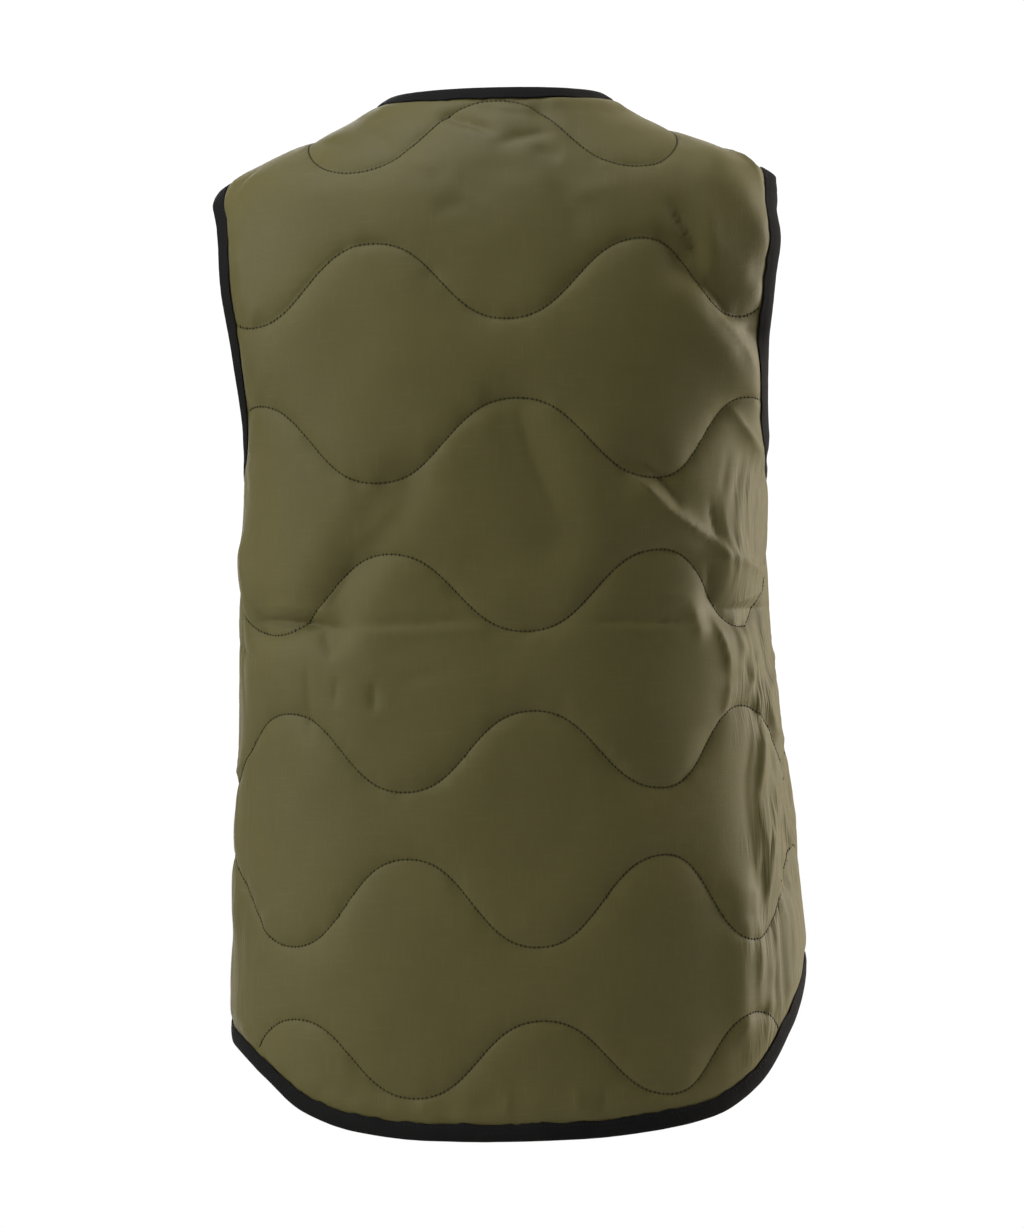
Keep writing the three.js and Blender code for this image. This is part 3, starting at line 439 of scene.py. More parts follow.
# Lights: place, target and size in metres, power in watts, and colour
LIGHTS = {
    "warm light from the right": (
        (-2.2, -0.8, 0.1), (-0.1, 0.0, -0.35), (1.0, 1.8), 122, (1.0, 0.92, 0.82),
    ),
    "soft light from the left": (
        (2.8, 1.3, 1.0), (0.0, 0.0, -0.3), (1.6, 1.6), 124, (1.0, 1.0, 0.93),
    ),
    "soft light from above": (
        (0.4, 0.4, 2.4), (0.0, 0.0, -0.2), (1.6, 1.6), 84, (1.0, 1.0, 0.97),
    ),
    "weak light on the front": (
        (0.6, -3.0, 0.6), (0.0, 0.0, -0.3), (1.8, 1.8), 45, (1.0, 1.0, 0.98),
    ),
}


# Smooth numbers

def rise(value, low, high):
    """Smooth step from 0 at low to 1 at high."""
    t = np.clip((value - low) / (high - low), 0, 1)
    return t * t * (3 - 2 * t)


def lattice(column, row, seed):
    """A fixed number from -1 to 1 for each crossing of a lattice."""
    mixed = column.astype(np.int64) * 374761393 + row.astype(np.int64) * 668265263 + seed * 974634777
    mixed = (mixed ^ (mixed >> 13)) * 1274126177
    return ((mixed ^ (mixed >> 16)) & 0xFFFF) / 32767.5 - 1


def noise(x, y, seed):
    """Smooth seeded noise from -1 to 1, one bump for each unit."""
    column, row = np.floor(x), np.floor(y)
    u, v = x - column, y - row
    u = u * u * u * (u * (6 * u - 15) + 10)
    v = v * v * v * (v * (6 * v - 15) + 10)
    low = lattice(column, row, seed) * (1 - u) + lattice(column + 1, row, seed) * u
    high = lattice(column, row + 1, seed) * (1 - u) + lattice(column + 1, row + 1, seed) * u
    return low * (1 - v) + high * v


def read_table(rows, key, column, at):
    """Value of a column: a smooth curve through the rows that never passes their values."""
    x, y = rows[key], rows[column]
    steep = np.diff(y) / np.diff(x)
    same_way = steep[:-1] * steep[1:] > 0
    inner = 2 * steep[:-1] * steep[1:] / np.where(same_way, steep[:-1] + steep[1:], 1)
    slope = np.concatenate([[0], np.where(same_way, inner, 0), [0]])
    at = np.clip(at, x[0], x[-1])
    row = np.clip(np.searchsorted(x, at, side="right") - 1, 0, len(x) - 2)
    step = x[row + 1] - x[row]
    t = (at - x[row]) / step
    ease = t * t * (3 - 2 * t)
    value = y[row] + (y[row + 1] - y[row]) * ease
    return value + t * (1 - t) ** 2 * slope[row] * step - t * t * (1 - t) * slope[row + 1] * step


# The body's form

class Quarter:
    """One quarter of the body's rings, at equal steps along the cloth."""

    def __init__(self, side, is_front):
        turn = np.linspace(0, math.pi / 2, ARC_STEPS + 1)[None, :]
        if is_front:
            turn = turn + math.pi / 2
        self.half = read_table(RINGS, "z", SIDE_COLUMN[side], Z_LINES)
        self.depth = read_table(RINGS, "z", FACE_COLUMN[is_front], Z_LINES)
        power = 2 / read_table(RINGS, "z", "square", Z_LINES)[:, None]
        sideways = np.abs(np.sin(turn)) ** power
        deep = np.sign(np.cos(turn)) * np.abs(np.cos(turn)) ** power
        steps = np.hypot(np.diff(sideways) * self.half[:, None], np.diff(deep) * self.depth[:, None])
        lengths = np.concatenate([np.zeros((len(Z_LINES), 1)), np.cumsum(steps, axis=1)], axis=1)
        self.total = lengths[:, -1]
        part = np.linspace(0, 1, ARC_STEPS + 1)
        self.turn = turn[0]
        self.part_of_turn = lengths / self.total[:, None]
        even = [part * total for total in self.total]
        self.sideways = np.array([np.interp(e, line, s) for e, line, s in zip(even, lengths, sideways)])
        self.deep = np.array([np.interp(e, line, d) for e, line, d in zip(even, lengths, deep)])

    def length(self, z):
        return np.interp(z, Z_LINES, self.total)


QUARTERS = {
    (side, is_front): Quarter(side, is_front)
    for side in (LEFT, RIGHT)
    for is_front in (False, True)
}


def sample(grid, z, part):
    """Value of a table of a quarter between its lines and steps."""
    line = np.clip((z - Z_LINES[0]) / Z_STEP, 0, len(Z_LINES) - 1.001)
    step = np.clip(part * ARC_STEPS, 0, ARC_STEPS - 0.001)
    row, column = line.astype(int), step.astype(int)
    u, v = step - column, line - row
    low = grid[row, column] * (1 - u) + grid[row, column + 1] * u
    high = grid[row + 1, column] * (1 - u) + grid[row + 1, column + 1] * u
    return low * (1 - v) + high * v


def ring_point(around, z):
    around, z = np.broadcast_arrays(np.asarray(around, float), np.asarray(z, float))
    wrapped = around - 4 * np.round(around / 4)
    points = np.zeros(around.shape + (3,))
    for (side, is_front), quarter in QUARTERS.items():
        quarters = np.abs(wrapped)
        here = ((wrapped < 0) == (side == LEFT)) & ((quarters > 1) == is_front)
        level, part = z[here], quarters[here] - (1 if is_front else 0)
        half = np.interp(level, Z_LINES, quarter.half)
        depth = np.interp(level, Z_LINES, quarter.depth)
        points[here, 0] = -side * half * sample(quarter.sideways, level, part)
        points[here, 1] = depth * sample(quarter.deep, level, part)
        points[here, 2] = level
    return points


def by_side(around, at, measure):
    """A measure that differs from side to side, taken on the side that each place lies on."""
    return np.where(around < 0, measure(LEFT, at), measure(RIGHT, at))


def quarter_length(around, z, is_front=False):
    """Length along the cloth of the back's or the front's quarter, on the side of each place."""
    return by_side(around, z, lambda side, level: QUARTERS[side, is_front].length(level))


def across_at(around, z):
    """Distance along the cloth from the centre back, positive on the wearer's right."""
    quarters = np.abs(around)
    back = quarter_length(around, z)
    front = quarter_length(around, z, is_front=True)
    return np.sign(around) * np.where(quarters <= 1, quarters * back, back + (quarters - 1) * front)


def around_of_turn(side, is_front, turn, z):
    """Place on the ring of a turn from the centre back, 0, to the centre front, a half turn."""
    quarter = QUARTERS[side, is_front]
    parts = [
        np.interp(t, quarter.turn, quarter.part_of_turn[int(round((level - Z_LINES[0]) / Z_STEP))])
        for t, level in zip(turn, z)
    ]
    return side * ((1 if is_front else 0) + np.array(parts))


def unit(vectors):
    return vectors / np.maximum(np.linalg.norm(vectors, axis=-1, keepdims=True), 1e-9)


def tangents(around, z):
    ahead, behind = ring_point(around + PROBE_AROUND, z), ring_point(around - PROBE_AROUND, z)
    above, below = ring_point(around, z + PROBE_Z), ring_point(around, z - PROBE_Z)
    return (ahead - behind) / (2 * PROBE_AROUND), (above - below) / (2 * PROBE_Z)


def ring_normal(around, z):
    along, up = tangents(around, z)
    return unit(np.cross(along, up))


# Folds, creases and quilting

def fold_height(across, z):
    height = np.zeros_like(across)
    for fold in FOLDS:
        run = np.array([fold["end_across"] - fold["across"], fold["end_z"] - fold["z"]])
        offset = across - fold["across"], z - fold["z"]
        part = np.clip((offset[0] * run[0] + offset[1] * run[1]) / (run @ run), 0, 1)
        distance = np.hypot(offset[0] - part * run[0], offset[1] - part * run[1])
        height += fold["height"] * np.exp(-((distance / fold["width"]) ** 2))
    return height


def crease_height(across, z):
    """Finer creases: each tapers off at both ends, may bow, and may lean to one side."""
    height = np.zeros_like(across)
    for crease in CREASES:
        run = np.array([crease["end_across"] - crease["across"], crease["end_z"] - crease["z"]])
        length = np.hypot(*run)
        offset = across - crease["across"], z - crease["z"]
        part = (offset[0] * run[0] + offset[1] * run[1]) / length**2
        aside = (offset[1] * run[0] - offset[0] * run[1]) / length
        aside = aside - crease["bow"] * 4 * part * (1 - part)
        width = crease["width"] * (1 + crease["lean"] * np.sign(aside))
        taper = rise(part, *CREASE_START) * (1 - rise(part, *CREASE_END))
        height += crease["height"] * taper * np.exp(-np.abs(aside / width) ** crease["sharp"])
    return height


def gather_height(across, z):
    """Fine upright creases where the cloth is drawn together."""
    height = np.zeros_like(across)
    for number, place in enumerate(GATHERS):
        reach_across = np.abs(across - place["across"]) / place["half_across"]
        reach_z = np.abs(z - place["z"]) / place["half_z"]
        inside = 1 - rise(reach_across, *GATHER_FADE_ACROSS)
        inside = inside * (1 - rise(reach_z, *GATHER_FADE_Z))
        size_across, size_z = GATHER_WANDER_SIZE
        wander = noise(across / size_across, z / size_z, GATHER_WANDER_SEED + number)
        moved = across + GATHER_WANDER * wander
        pleat = noise(moved / place["pitch"], z / place["length"], GATHER_SEED + number)
        height += place["height"] * inside * (GATHER_LEVEL - np.abs(pleat)) * GATHER_STEEPNESS
    return height


def stitch_height(row, across):
    """A wave whose crests and hollows are a little fuller than a plain one's."""
    gathered = across + GATHER * np.maximum(0, across - GATHER_FROM)
    turn = 2 * math.pi * (gathered - row["middle"]) / row["period"]
    wave = (np.cos(turn) - CREST_FULLNESS * np.cos(3 * turn)) / (1 - CREST_FULLNESS)
    return row["height"] + row["swing"] * wave


def stitch_distance(across, z):
    nearest = np.full_like(across, np.inf)
    for row in STITCH_ROWS:
        slope = (stitch_height(row, across + 1) - stitch_height(row, across - 1)) / 2
        nearest = np.minimum(nearest, np.abs(z - stitch_height(row, across)) / np.hypot(1, slope))
    return nearest


def ripple(kind, across, z):
    height, size_across, size_z, seed = RIPPLES[kind]
    return height * noise(across / size_across, z / size_z, seed)


def lap_around(side, z):
    return 2 + LAP / QUARTERS[side, True].length(z)


def hem_climb(side, quarters):
    return read_table(HEM_CLIMB, "around", SIDE_COLUMN[side], quarters)


def hem_z(around):
    return HEM_LOW_Z + by_side(around, np.abs(around), hem_climb)


class Cloth:
    """Heights of the worn cloth over the body's form, at places with their distance from a binding."""

    def __init__(self, around, z, from_binding):
        across = across_at(around, z)
        stitch = stitch_distance(across, z)
        seam = np.abs(np.abs(around) - 1) * quarter_length(around, z)
        front_edge = (by_side(around, z, lap_around) - np.abs(around)) * quarter_length(around, z)
        free = 1 - np.exp(-from_binding / EDGE_REACH)
        flat_strip = rise(front_edge, PLACKET, PLACKET + PLACKET_FADE)
        self.across = across
        self.is_quilted = flat_strip > 0.5
        self.lift = fold_height(across, z) + LAP_RISE * rise(around, *LAP_BLEND)
        self.puff = PUFF * (1 - np.exp(-stitch / PUFF_REACH)) * (1 - np.exp(-seam / SEAM_REACH))
        self.puff = self.puff * flat_strip * free
        fine = crease_height(across, z) + gather_height(across, z)
        fine += ripple("broad wave", across, z) + ripple("small wave", across, z)
        pucker = ripple("stitch pucker", across, z) * np.exp(-stitch / STITCH_PUCKER_REACH)
        pucker += ripple("edge pucker", across, z) * np.exp(-from_binding / EDGE_PUCKER_REACH)
        seam_pucker = ripple("seam pucker", across, z) * np.exp(-seam / SEAM_PUCKER_REACH)
        pucker += seam_pucker * rise(seam, 0, SEAM_PUCKER_START)
        calm = rise(from_binding, 0, CREASE_FREE_EDGE) * rise(seam, 0, CREASE_FREE_SEAM)
        calm = calm * (CREASES_ON_PLACKET + (1 - CREASES_ON_PLACKET) * flat_strip)
        self.fine = fine * calm + pucker * free
        self.roll = SEAM_ROLL * np.exp(-((seam / SEAM_ROLL_WIDTH) ** 2))


# Outlines of the pieces, as chains of places

def seam_around(z, side, is_front):
    """The side and shoulder seams lie at one quarter, and the panels just lap there."""
    half = SEAM_LAP / 2 / QUARTERS[side, is_front].length(z)
    return side * (1 - half if is_front else 1 + half)


def armhole_edge(side, is_front):
    """From the side seam up to the shoulder, an oval seen from the side."""
    middle, half_height = (ARMHOLE_TOP_Z + ARMHOLE_BASE_Z) / 2, (ARMHOLE_TOP_Z - ARMHOLE_BASE_Z) / 2
    power = 2 / ARMHOLE_SQUARENESS
    turn = np.linspace(0, math.pi, ARMHOLE_STEPS + 1)
    z = middle - half_height * np.sign(np.cos(turn)) * np.abs(np.cos(turn)) ** power
    y = (ARMHOLE_FRONT_REACH if is_front else ARMHOLE_BACK_REACH) * np.maximum(0, np.sin(turn)) ** power
    depth = read_table(RINGS, "z", FACE_COLUMN[is_front], z)
    from_seam = np.arcsin((y / depth) ** (read_table(RINGS, "z", "square", z) / 2))
    around = around_of_turn(side, is_front, math.pi / 2 + (from_seam if is_front else -from_seam), z)
    around[[0, -1]] = seam_around(z[[0, -1]], side, is_front)
    return np.column_stack([around, z])


def back_neck_edge():
    part = np.linspace(-1, 1, BACK_NECK_STEPS + 1)
    z = NECK_BACK_RISE + (NECK_SIDE_RISE - NECK_BACK_RISE) * part * part
    return np.column_stack([part * seam_around(z, RIGHT, False), z])


def front_neck_edge(side, steps):
    """From the corner at the lap up to the shoulder seam."""
    part = 1 - np.linspace(0, 1, steps + 1)
    z = NECK_SIDE_RISE - (NECK_SIDE_RISE + NECK_FRONT_DROP) * part
    x = NECK_HALF_WIDTH - (NECK_HALF_WIDTH + LAP) * part**NECK_FRONT_CURVE
    half = read_table(RINGS, "z", SIDE_COLUMN[side], z)
    square = read_table(RINGS, "z", "square", z)
    from_centre = np.arcsin(np.minimum(1, np.abs(x) / half) ** (square / 2))
    mirrored = np.abs(around_of_turn(side, True, math.pi - from_centre, z))
    around = side * np.where(x < 0, 4 - mirrored, mirrored)
    around[-1] = seam_around(z[-1], side, True)
    return np.column_stack([around, z])


def inset_chain(edge, corners=()):
    """Moves an edge onto the panel by the binding's width. A corner moves in by that width from both
    of the edges that meet there."""
    around, z = edge[:, 0], edge[:, 1]
    points = ring_point(around, z)
    along, up = tangents(around, z)
    normal = unit(np.cross(along, up))
    before = np.roll(points, 1, axis=0)
    after = np.roll(points, -1, axis=0)
    inward = unit(np.cross(normal, after - before))
    second, second_length = after - before, np.zeros(len(edge))
    first_inward = unit(np.cross(normal, points - before))
    next_inward = unit(np.cross(normal, after - points))
    for corner in corners:
        inward[corner] = first_inward[corner]
        second[corner] = next_inward[corner]
        second_length[corner] = BINDING_WIDTH
    a, b = (along * inward).sum(1), (up * inward).sum(1)
    c, d = (along * second).sum(1), (up * second).sum(1)
    determinant = a * d - b * c
    border = edge.copy()
    border[:, 0] += (BINDING_WIDTH * d - b * second_length) / determinant
    border[:, 1] += (a * second_length - c * BINDING_WIDTH) / determinant
    for end, way in ((0, next_inward[0]), (-1, first_inward[-1])):
        border[end] = edge[end] + (0, BINDING_WIDTH / (up[end] @ way))
    for corner in corners:
        for step in (-CORNER_STEPS, CORNER_STEPS):
            part = np.linspace(0, 1, CORNER_STEPS + 1)[:, None]
            reach = range(corner, corner + step + (1 if step > 0 else -1), 1 if step > 0 else -1)
            border[list(reach)] = border[corner] * (1 - part) + border[corner + step] * part
    return border


def between(start, end, steps):
    part = np.linspace(0, 1, steps + 1)[:, None]
    return start * (1 - part) + end * part


def fill_block(bottom, top, left, right):
    """Net of places between four edges that share their corners, as rows from the bottom up."""
    u = np.linspace(0, 1, len(bottom))[None, :, None]
    v = np.linspace(0, 1, len(left))[:, None, None]
    ruled = bottom[None] * (1 - v) + top[None] * v + left[:, None] * (1 - u) + right[:, None] * u
    low = bottom[0] * (1 - u) + bottom[-1] * u
    high = top[0] * (1 - u) + top[-1] * u
    return ruled - (low * (1 - v) + high * v)


def column_crossings(column):
    """Where a column of places crosses the stitch rows, as (steps from its start, row)."""
    across = across_at(column[:, 0], column[:, 1])
    crossings = []
    for number, row in enumerate(STITCH_ROWS):
        above = column[:, 1] - stitch_height(row, across)
        for index in np.nonzero(above[:-1] * above[1:] < 0)[0]:
            crossings.append((index + above[index] / (above[index] - above[index + 1]), number + 1))
    return sorted(crossings)


def settle_column(column):
    """Slides the places of a column along it, so that one sits on each stitch row it crosses, and
    the others lie closer together beside it."""
    last = len(column) - 1
    indexes, ats, rows = [0], [0.0], [0]
    for at, row in column_crossings(column):
        index = max(round(at), indexes[-1] + 1)
        if index < last and abs(index - at) < NEAREST_STEP:
            indexes.append(index)
            ats.append(at)
            rows.append(row)
    indexes.append(last)
    ats.append(float(last))
    rows.append(0)
    steps = np.arange(last + 1.0)
    interval = np.clip(np.searchsorted(indexes, steps, side="right") - 1, 0, len(indexes) - 2)
    starts, ends = np.array(indexes)[interval], np.array(indexes)[interval + 1]
    part = (steps - starts) / (ends - starts)
    part = part - BUNCHING * np.sin(2 * math.pi * part) / (2 * math.pi)
    at = np.array(ats)[interval] * (1 - part) + np.array(ats)[interval + 1] * part
    settled = np.column_stack([np.interp(at, steps, column[:, 0]), np.interp(at, steps, column[:, 1])])
    stitched = np.zeros(last + 1, int)
    stitched[indexes] = rows
    return settled, stitched


# Panels

class Panel:
    """A piece of quilted cloth: places, the rows of its net, and the strips under its bindings."""

    def __init__(self, lower, upper, first, last, is_mirrored):
        """lower is the block over the full width, upper the one between columns first and last."""
        self.is_mirrored = is_mirrored
        row_count = len(lower) + len(upper) - 1
        self.net = np.full((row_count, lower.shape[1]), -1)
        self.places, self.stitched, self.grain = [], [], []
        self.quads, self.coarse_quads = [], []
        for column in range(lower.shape[1]):
            is_tall = first < column < last
            places = lower[:, column]
            if is_tall:
                places = np.concatenate([places, upper[1:, column - first]])
            places, stitched = settle_column(places)
            if column in (first, last):
                places = np.concatenate([places, upper[1:, column - first]])
                stitched = np.concatenate([stitched, np.zeros(len(upper) - 1, int)])
            numbers = self.add_places(places, stitched)
            self.net[: len(numbers), column] = numbers
        self.add_quads(1, self.quads)
        self.add_quads(2, self.coarse_quads)

    def add_places(self, places, stitched):
        start = len(self.places)
        points = ring_point(places[:, 0], places[:, 1])
        climbed = np.concatenate([[0], np.cumsum(np.linalg.norm(np.diff(points, axis=0), axis=1))])
        self.places.extend(places)
        self.stitched.extend(stitched)
        self.grain.extend(places[0, 1] + climbed)
        return range(start, start + len(places))

    def add_quads(self, step, quads):
        net = self.net[::step, ::step]
        corners = np.stack([net[:-1, :-1], net[:-1, 1:], net[1:, 1:], net[1:, :-1]], axis=-1)
        whole = corners[(corners >= 0).all(axis=-1)]
        quads.extend(whole[:, ::-1] if self.is_mirrored else whole)

    def add_strip(self, borders, edge):
        """Adds the band of cloth outside a chain of border vertices, out to the free edge."""
        start = len(self.places)
        self.places.extend(edge)
        self.stitched.extend([0] * len(edge))
        self.grain.extend(edge[:, 1])
        edges = np.arange(start, start + len(edge))
        borders = np.array(borders)
        for step, quads in ((1, self.quads), (2, self.coarse_quads)):
            e, b = edges[::step], borders[::step]
            strip = np.stack([e[:-1], e[1:], b[1:], b[:-1]], axis=-1)
            quads.extend(strip[:, ::-1] if self.is_mirrored else strip)
        return np.stack([borders, edges], axis=-1)

    def shape(self, strips):
        """Works out the points of both faces once every strip is there."""
        self.places = np.array(self.places)
        self.stitched = np.array(self.stitched)
        around, z = self.places[:, 0], self.places[:, 1]
        base = ring_point(around, z)
        self.normal = ring_normal(around, z)
        from_binding = distance_from(base, np.concatenate([strip[:, 0] for strip in strips]))
        in_strip = np.zeros(len(base), bool)
        in_strip[np.concatenate([strip.ravel() for strip in strips])] = True
        from_binding[in_strip] = 0
        cloth = Cloth(around, z, from_binding)
        is_sewn = (self.stitched > 0) & ~in_strip & cloth.is_quilted
        self.stitched[~is_sewn] = 0
        puff = np.where(is_sewn, -STITCH_SINK, cloth.puff)
        middle = base + self.normal * (cloth.lift + cloth.fine)[:, None]
        self.outer = middle + self.normal * (puff + cloth.roll)[:, None]
        self.inner = middle - self.normal * WALL
        self.across = cloth.across
        self.from_binding = from_binding
        self.grain = np.array(self.grain)


def distance_from(points, numbers):
    """Distance of each point from the nearest of the numbered ones."""
    tree = kdtree.KDTree(len(numbers))
    for index, number in enumerate(numbers):
        tree.insert(points[number], index)
    tree.balance()
    return np.array([tree.find(point)[2] for point in points])


def armhole_border(panel, seam_column, last):
    """Border vertices beside an armhole, from the side seam in to column last and then up it."""
    step = 1 if last > seam_column else -1
    low = [panel.net[LOWER_STEPS, column] for column in range(seam_column, last, step)]
    return low + list(panel.net[LOWER_STEPS:, last])


def build_back():
    arm = ARMHOLE_BASE_STEPS
    columns = BACK_MIDDLE_STEPS + 2 * arm
    shoulder = (BACK_MIDDLE_STEPS - BACK_NECK_STEPS) // 2
    around = np.linspace(-1, 1, columns + 1)
    hem_edge = np.column_stack([around, hem_z(around)])
    hem_edge[0, 0] = seam_around(hem_edge[0, 1], LEFT, False)
    hem_edge[-1, 0] = seam_around(hem_edge[-1, 1], RIGHT, False)
    left_arm, right_arm = armhole_edge(LEFT, False), armhole_edge(RIGHT, False)
    neck_edge = back_neck_edge()
    hem_border = inset_chain(hem_edge)
    right_border = inset_chain(right_arm)
    left_border = inset_chain(left_arm[::-1])[::-1]
    neck_border = inset_chain(neck_edge[::-1])[::-1]
    junction = between(left_border[arm], right_border[arm], BACK_MIDDLE_STEPS)
    lower_top = np.concatenate([left_border[:arm], junction, right_border[:arm][::-1]])
    upper_top = np.concatenate([
        between(left_border[-1], neck_border[0], shoulder),
        neck_border[1:-1],
        between(neck_border[-1], right_border[-1], shoulder),
    ])
    left_side = between(hem_border[0], left_border[0], LOWER_STEPS)
    right_side = between(hem_border[-1], right_border[0], LOWER_STEPS)
    lower = fill_block(hem_border, lower_top, left_side, right_side)
    upper = fill_block(junction, upper_top, left_border[arm:], right_border[arm:])
    panel = Panel(lower, upper, arm, columns - arm, False)
    right_borders = armhole_border(panel, columns, columns - arm)
    left_borders = armhole_border(panel, 0, arm)
    neck_borders = panel.net[-1, arm + shoulder : columns - arm - shoulder + 1]
    panel.hem = panel.add_strip(panel.net[0], hem_edge)
    panel.right_arm = panel.add_strip(right_borders, right_arm)
    panel.left_arm = panel.add_strip(left_borders[::-1], left_arm[::-1])[::-1]
    panel.neck = panel.add_strip(neck_borders[::-1], neck_edge[::-1])[::-1]
    panel.shape([panel.hem, panel.right_arm, panel.left_arm, panel.neck])
    return panel


def build_front(side):
    arm = ARMHOLE_BASE_STEPS
    columns = FRONT_MIDDLE_STEPS + arm
    upper_rows = ARMHOLE_STEPS - arm
    hem_z_at_lap = hem_z(np.array([side * 2.0]))[0]
    quarters = np.linspace(1, lap_around(side, hem_z_at_lap), columns + 1)
    hem_edge = np.column_stack([side * quarters, hem_z(side * quarters)])
    hem_edge[0, 0] = seam_around(hem_edge[0, 1], side, True)
    arm_edge = armhole_edge(side, True)
    neck_edge = front_neck_edge(side, upper_rows - FRONT_EDGE_STEPS)
    turn_z = arm_edge[arm, 1]
    turn_place = np.array([side * lap_around(side, turn_z), turn_z])
    front_edge = np.concatenate([
        between(hem_edge[-1], turn_place, LOWER_STEPS),
        between(turn_place, neck_edge[0], FRONT_EDGE_STEPS)[1:],
    ])
    edge = np.concatenate([hem_edge, front_edge[1:], neck_edge[1:]])
    corners = [columns, columns + LOWER_STEPS + FRONT_EDGE_STEPS]
    if side == LEFT:
        border = inset_chain(edge[::-1], [len(edge) - 1 - corner for corner in corners])[::-1]
        arm_border = inset_chain(arm_edge)
    else:
        border = inset_chain(edge, corners)
        arm_border = inset_chain(arm_edge[::-1])[::-1]
    turn_index = columns + LOWER_STEPS
    junction = between(arm_border[arm], border[turn_index], FRONT_MIDDLE_STEPS)
    lower_top = np.concatenate([arm_border[:arm], junction])
    side_seam = between(border[0], arm_border[0], LOWER_STEPS)
    lower = fill_block(border[: columns + 1], lower_top, side_seam, border[columns : turn_index + 1])
    shoulder = between(arm_border[-1], border[-1], FRONT_MIDDLE_STEPS)
    upper = fill_block(junction, shoulder, arm_border[arm:], border[turn_index:])
    panel = Panel(lower, upper, arm, columns, side == LEFT)
    arm_borders = armhole_border(panel, 0, arm)
    borders = list(panel.net[0]) + list(panel.net[1:, columns])
    panel.edge = panel.add_strip(borders, edge)
    panel.arm = panel.add_strip(arm_borders[::-1], arm_edge[::-1])[::-1]
    panel.hem_corner = columns
    panel.shape([panel.edge, panel.arm])
    return panel


def boundary(quads):
    """Next vertex along the free edge of a surface, for each vertex on it."""
    quads = np.array(quads)
    starts, ends = quads.ravel(), np.roll(quads, -1, axis=1).ravel()
    size = int(quads.max()) + 1
    forward, backward = starts * size + ends, ends * size + starts
    free = ~np.isin(forward, backward)
    return dict(zip(starts[free].tolist(), ends[free].tolist()))


def shell_faces(panel):
    """Faces of a closed shell: fine outside, inside with half the steps, and the rim between. Also
    the places that the inside uses."""
    stitched = panel.stitched
    faces = []
    for a, b, c, d in np.array(panel.quads).tolist():
        if stitched[a] and stitched[a] == stitched[c]:
            faces += [(a, b, c), (a, c, d)]
        elif stitched[b] and stitched[b] == stitched[d]:
            faces += [(a, b, d), (b, c, d)]
        else:
            faces.append((a, b, c, d))
    coarse = np.array(panel.coarse_quads)
    used = np.unique(coarse)
    count = len(panel.places)
    inner_number = np.full(count, -1)
    inner_number[used] = count + np.arange(len(used))
    faces += [tuple(quad) for quad in inner_number[coarse[:, ::-1]].tolist()]
    following = boundary(panel.quads)
    for start, end in boundary(panel.coarse_quads).items():
        low, high = int(inner_number[start]), int(inner_number[end])
        middle = following[start]
        if middle == end:
            faces += [(end, start, low), (end, low, high)]
        else:
            faces += [(middle, start, low), (middle, low, high), (end, middle, high)]
    return faces, used


def new_object(name, points, faces, material, is_smooth=True):
    mesh = bpy.data.meshes.new(name)
    mesh.from_pydata((np.asarray(points) * MM).tolist(), [], faces)
    mesh.update()
    if is_smooth:
        mesh.shade_smooth()
    mesh.materials.append(material)
    made = bpy.data.objects.new(name, mesh)
    bpy.context.scene.collection.objects.link(made)
    return made


def lay_grain(piece, coordinates):
    """Cloth coordinates in metres, along and across the grain, for each vertex."""
    layer = piece.data.uv_layers.new(name="grain")
    corners = np.zeros(len(piece.data.loops), dtype=np.int32)
    piece.data.loops.foreach_get("vertex_index", corners)
    layer.data.foreach_set("uv", (coordinates[corners] * MM).ravel().astype(np.float32))


def make_panel(name, panel, material):
    faces, used = shell_faces(panel)
    points = np.concatenate([panel.outer, panel.inner[used]])
    grain = np.column_stack([panel.across, panel.grain])
    piece = new_object(name, points, faces, material)
    lay_grain(piece, np.concatenate([grain, grain[used]]))
    return piece


# Bindings

def stations(panel, strip):
    """What a binding needs of a panel at each step of a strip, one row for each."""
    border, edge = strip[:, 0], strip[:, 1]
    return np.stack([
        panel.outer[border], panel.inner[border], panel.outer[edge], panel.inner[edge],
        panel.normal[border], panel.normal[edge],
    ], axis=1)


def join_runs(runs, is_closed):
    """Joins runs end to end. The two stations that meet at a seam become one."""
    chain = list(runs[0])
    for run in runs[1:]:
        chain[-1] = (chain[-1] + run[0]) / 2
        chain.extend(run[1:])
    if is_closed:
        chain[0] = (chain[0] + chain.pop()) / 2
    return np.array(chain)


def smooth_chain(values, is_closed, passes=2):
    for _ in range(passes):
        before, after = np.roll(values, 1, axis=0), np.roll(values, -1, axis=0)
        mean = (before + 2 * values + after) / 4
        if not is_closed:
            mean[0], mean[-1] = values[0], values[-1]
        values = mean
    return values


def tape_frame(chain, is_closed):
    """Direction out of the cloth's edge, and the distance along the tape, at each station."""
    edge = chain[:, 2]
    before, after = np.roll(edge, 1, axis=0), np.roll(edge, -1, axis=0)
    if not is_closed:
        before[0], after[-1] = edge[0], edge[-1]
    outward = unit(np.cross(after - before, chain[:, 5]))
    wrong = (outward * (edge - chain[:, 0])).sum(1) < 0
    outward[wrong] *= -1
    along = np.concatenate([[0], np.cumsum(np.linalg.norm(np.diff(edge, axis=0), axis=1))])
    return smooth_chain(outward, is_closed), along


def tape_waves(along, waves, seed):
    level = np.zeros(len(along))
    return sum(
        size * noise(along / length, level, seed + number)
        for number, (size, length) in enumerate(waves)
    )


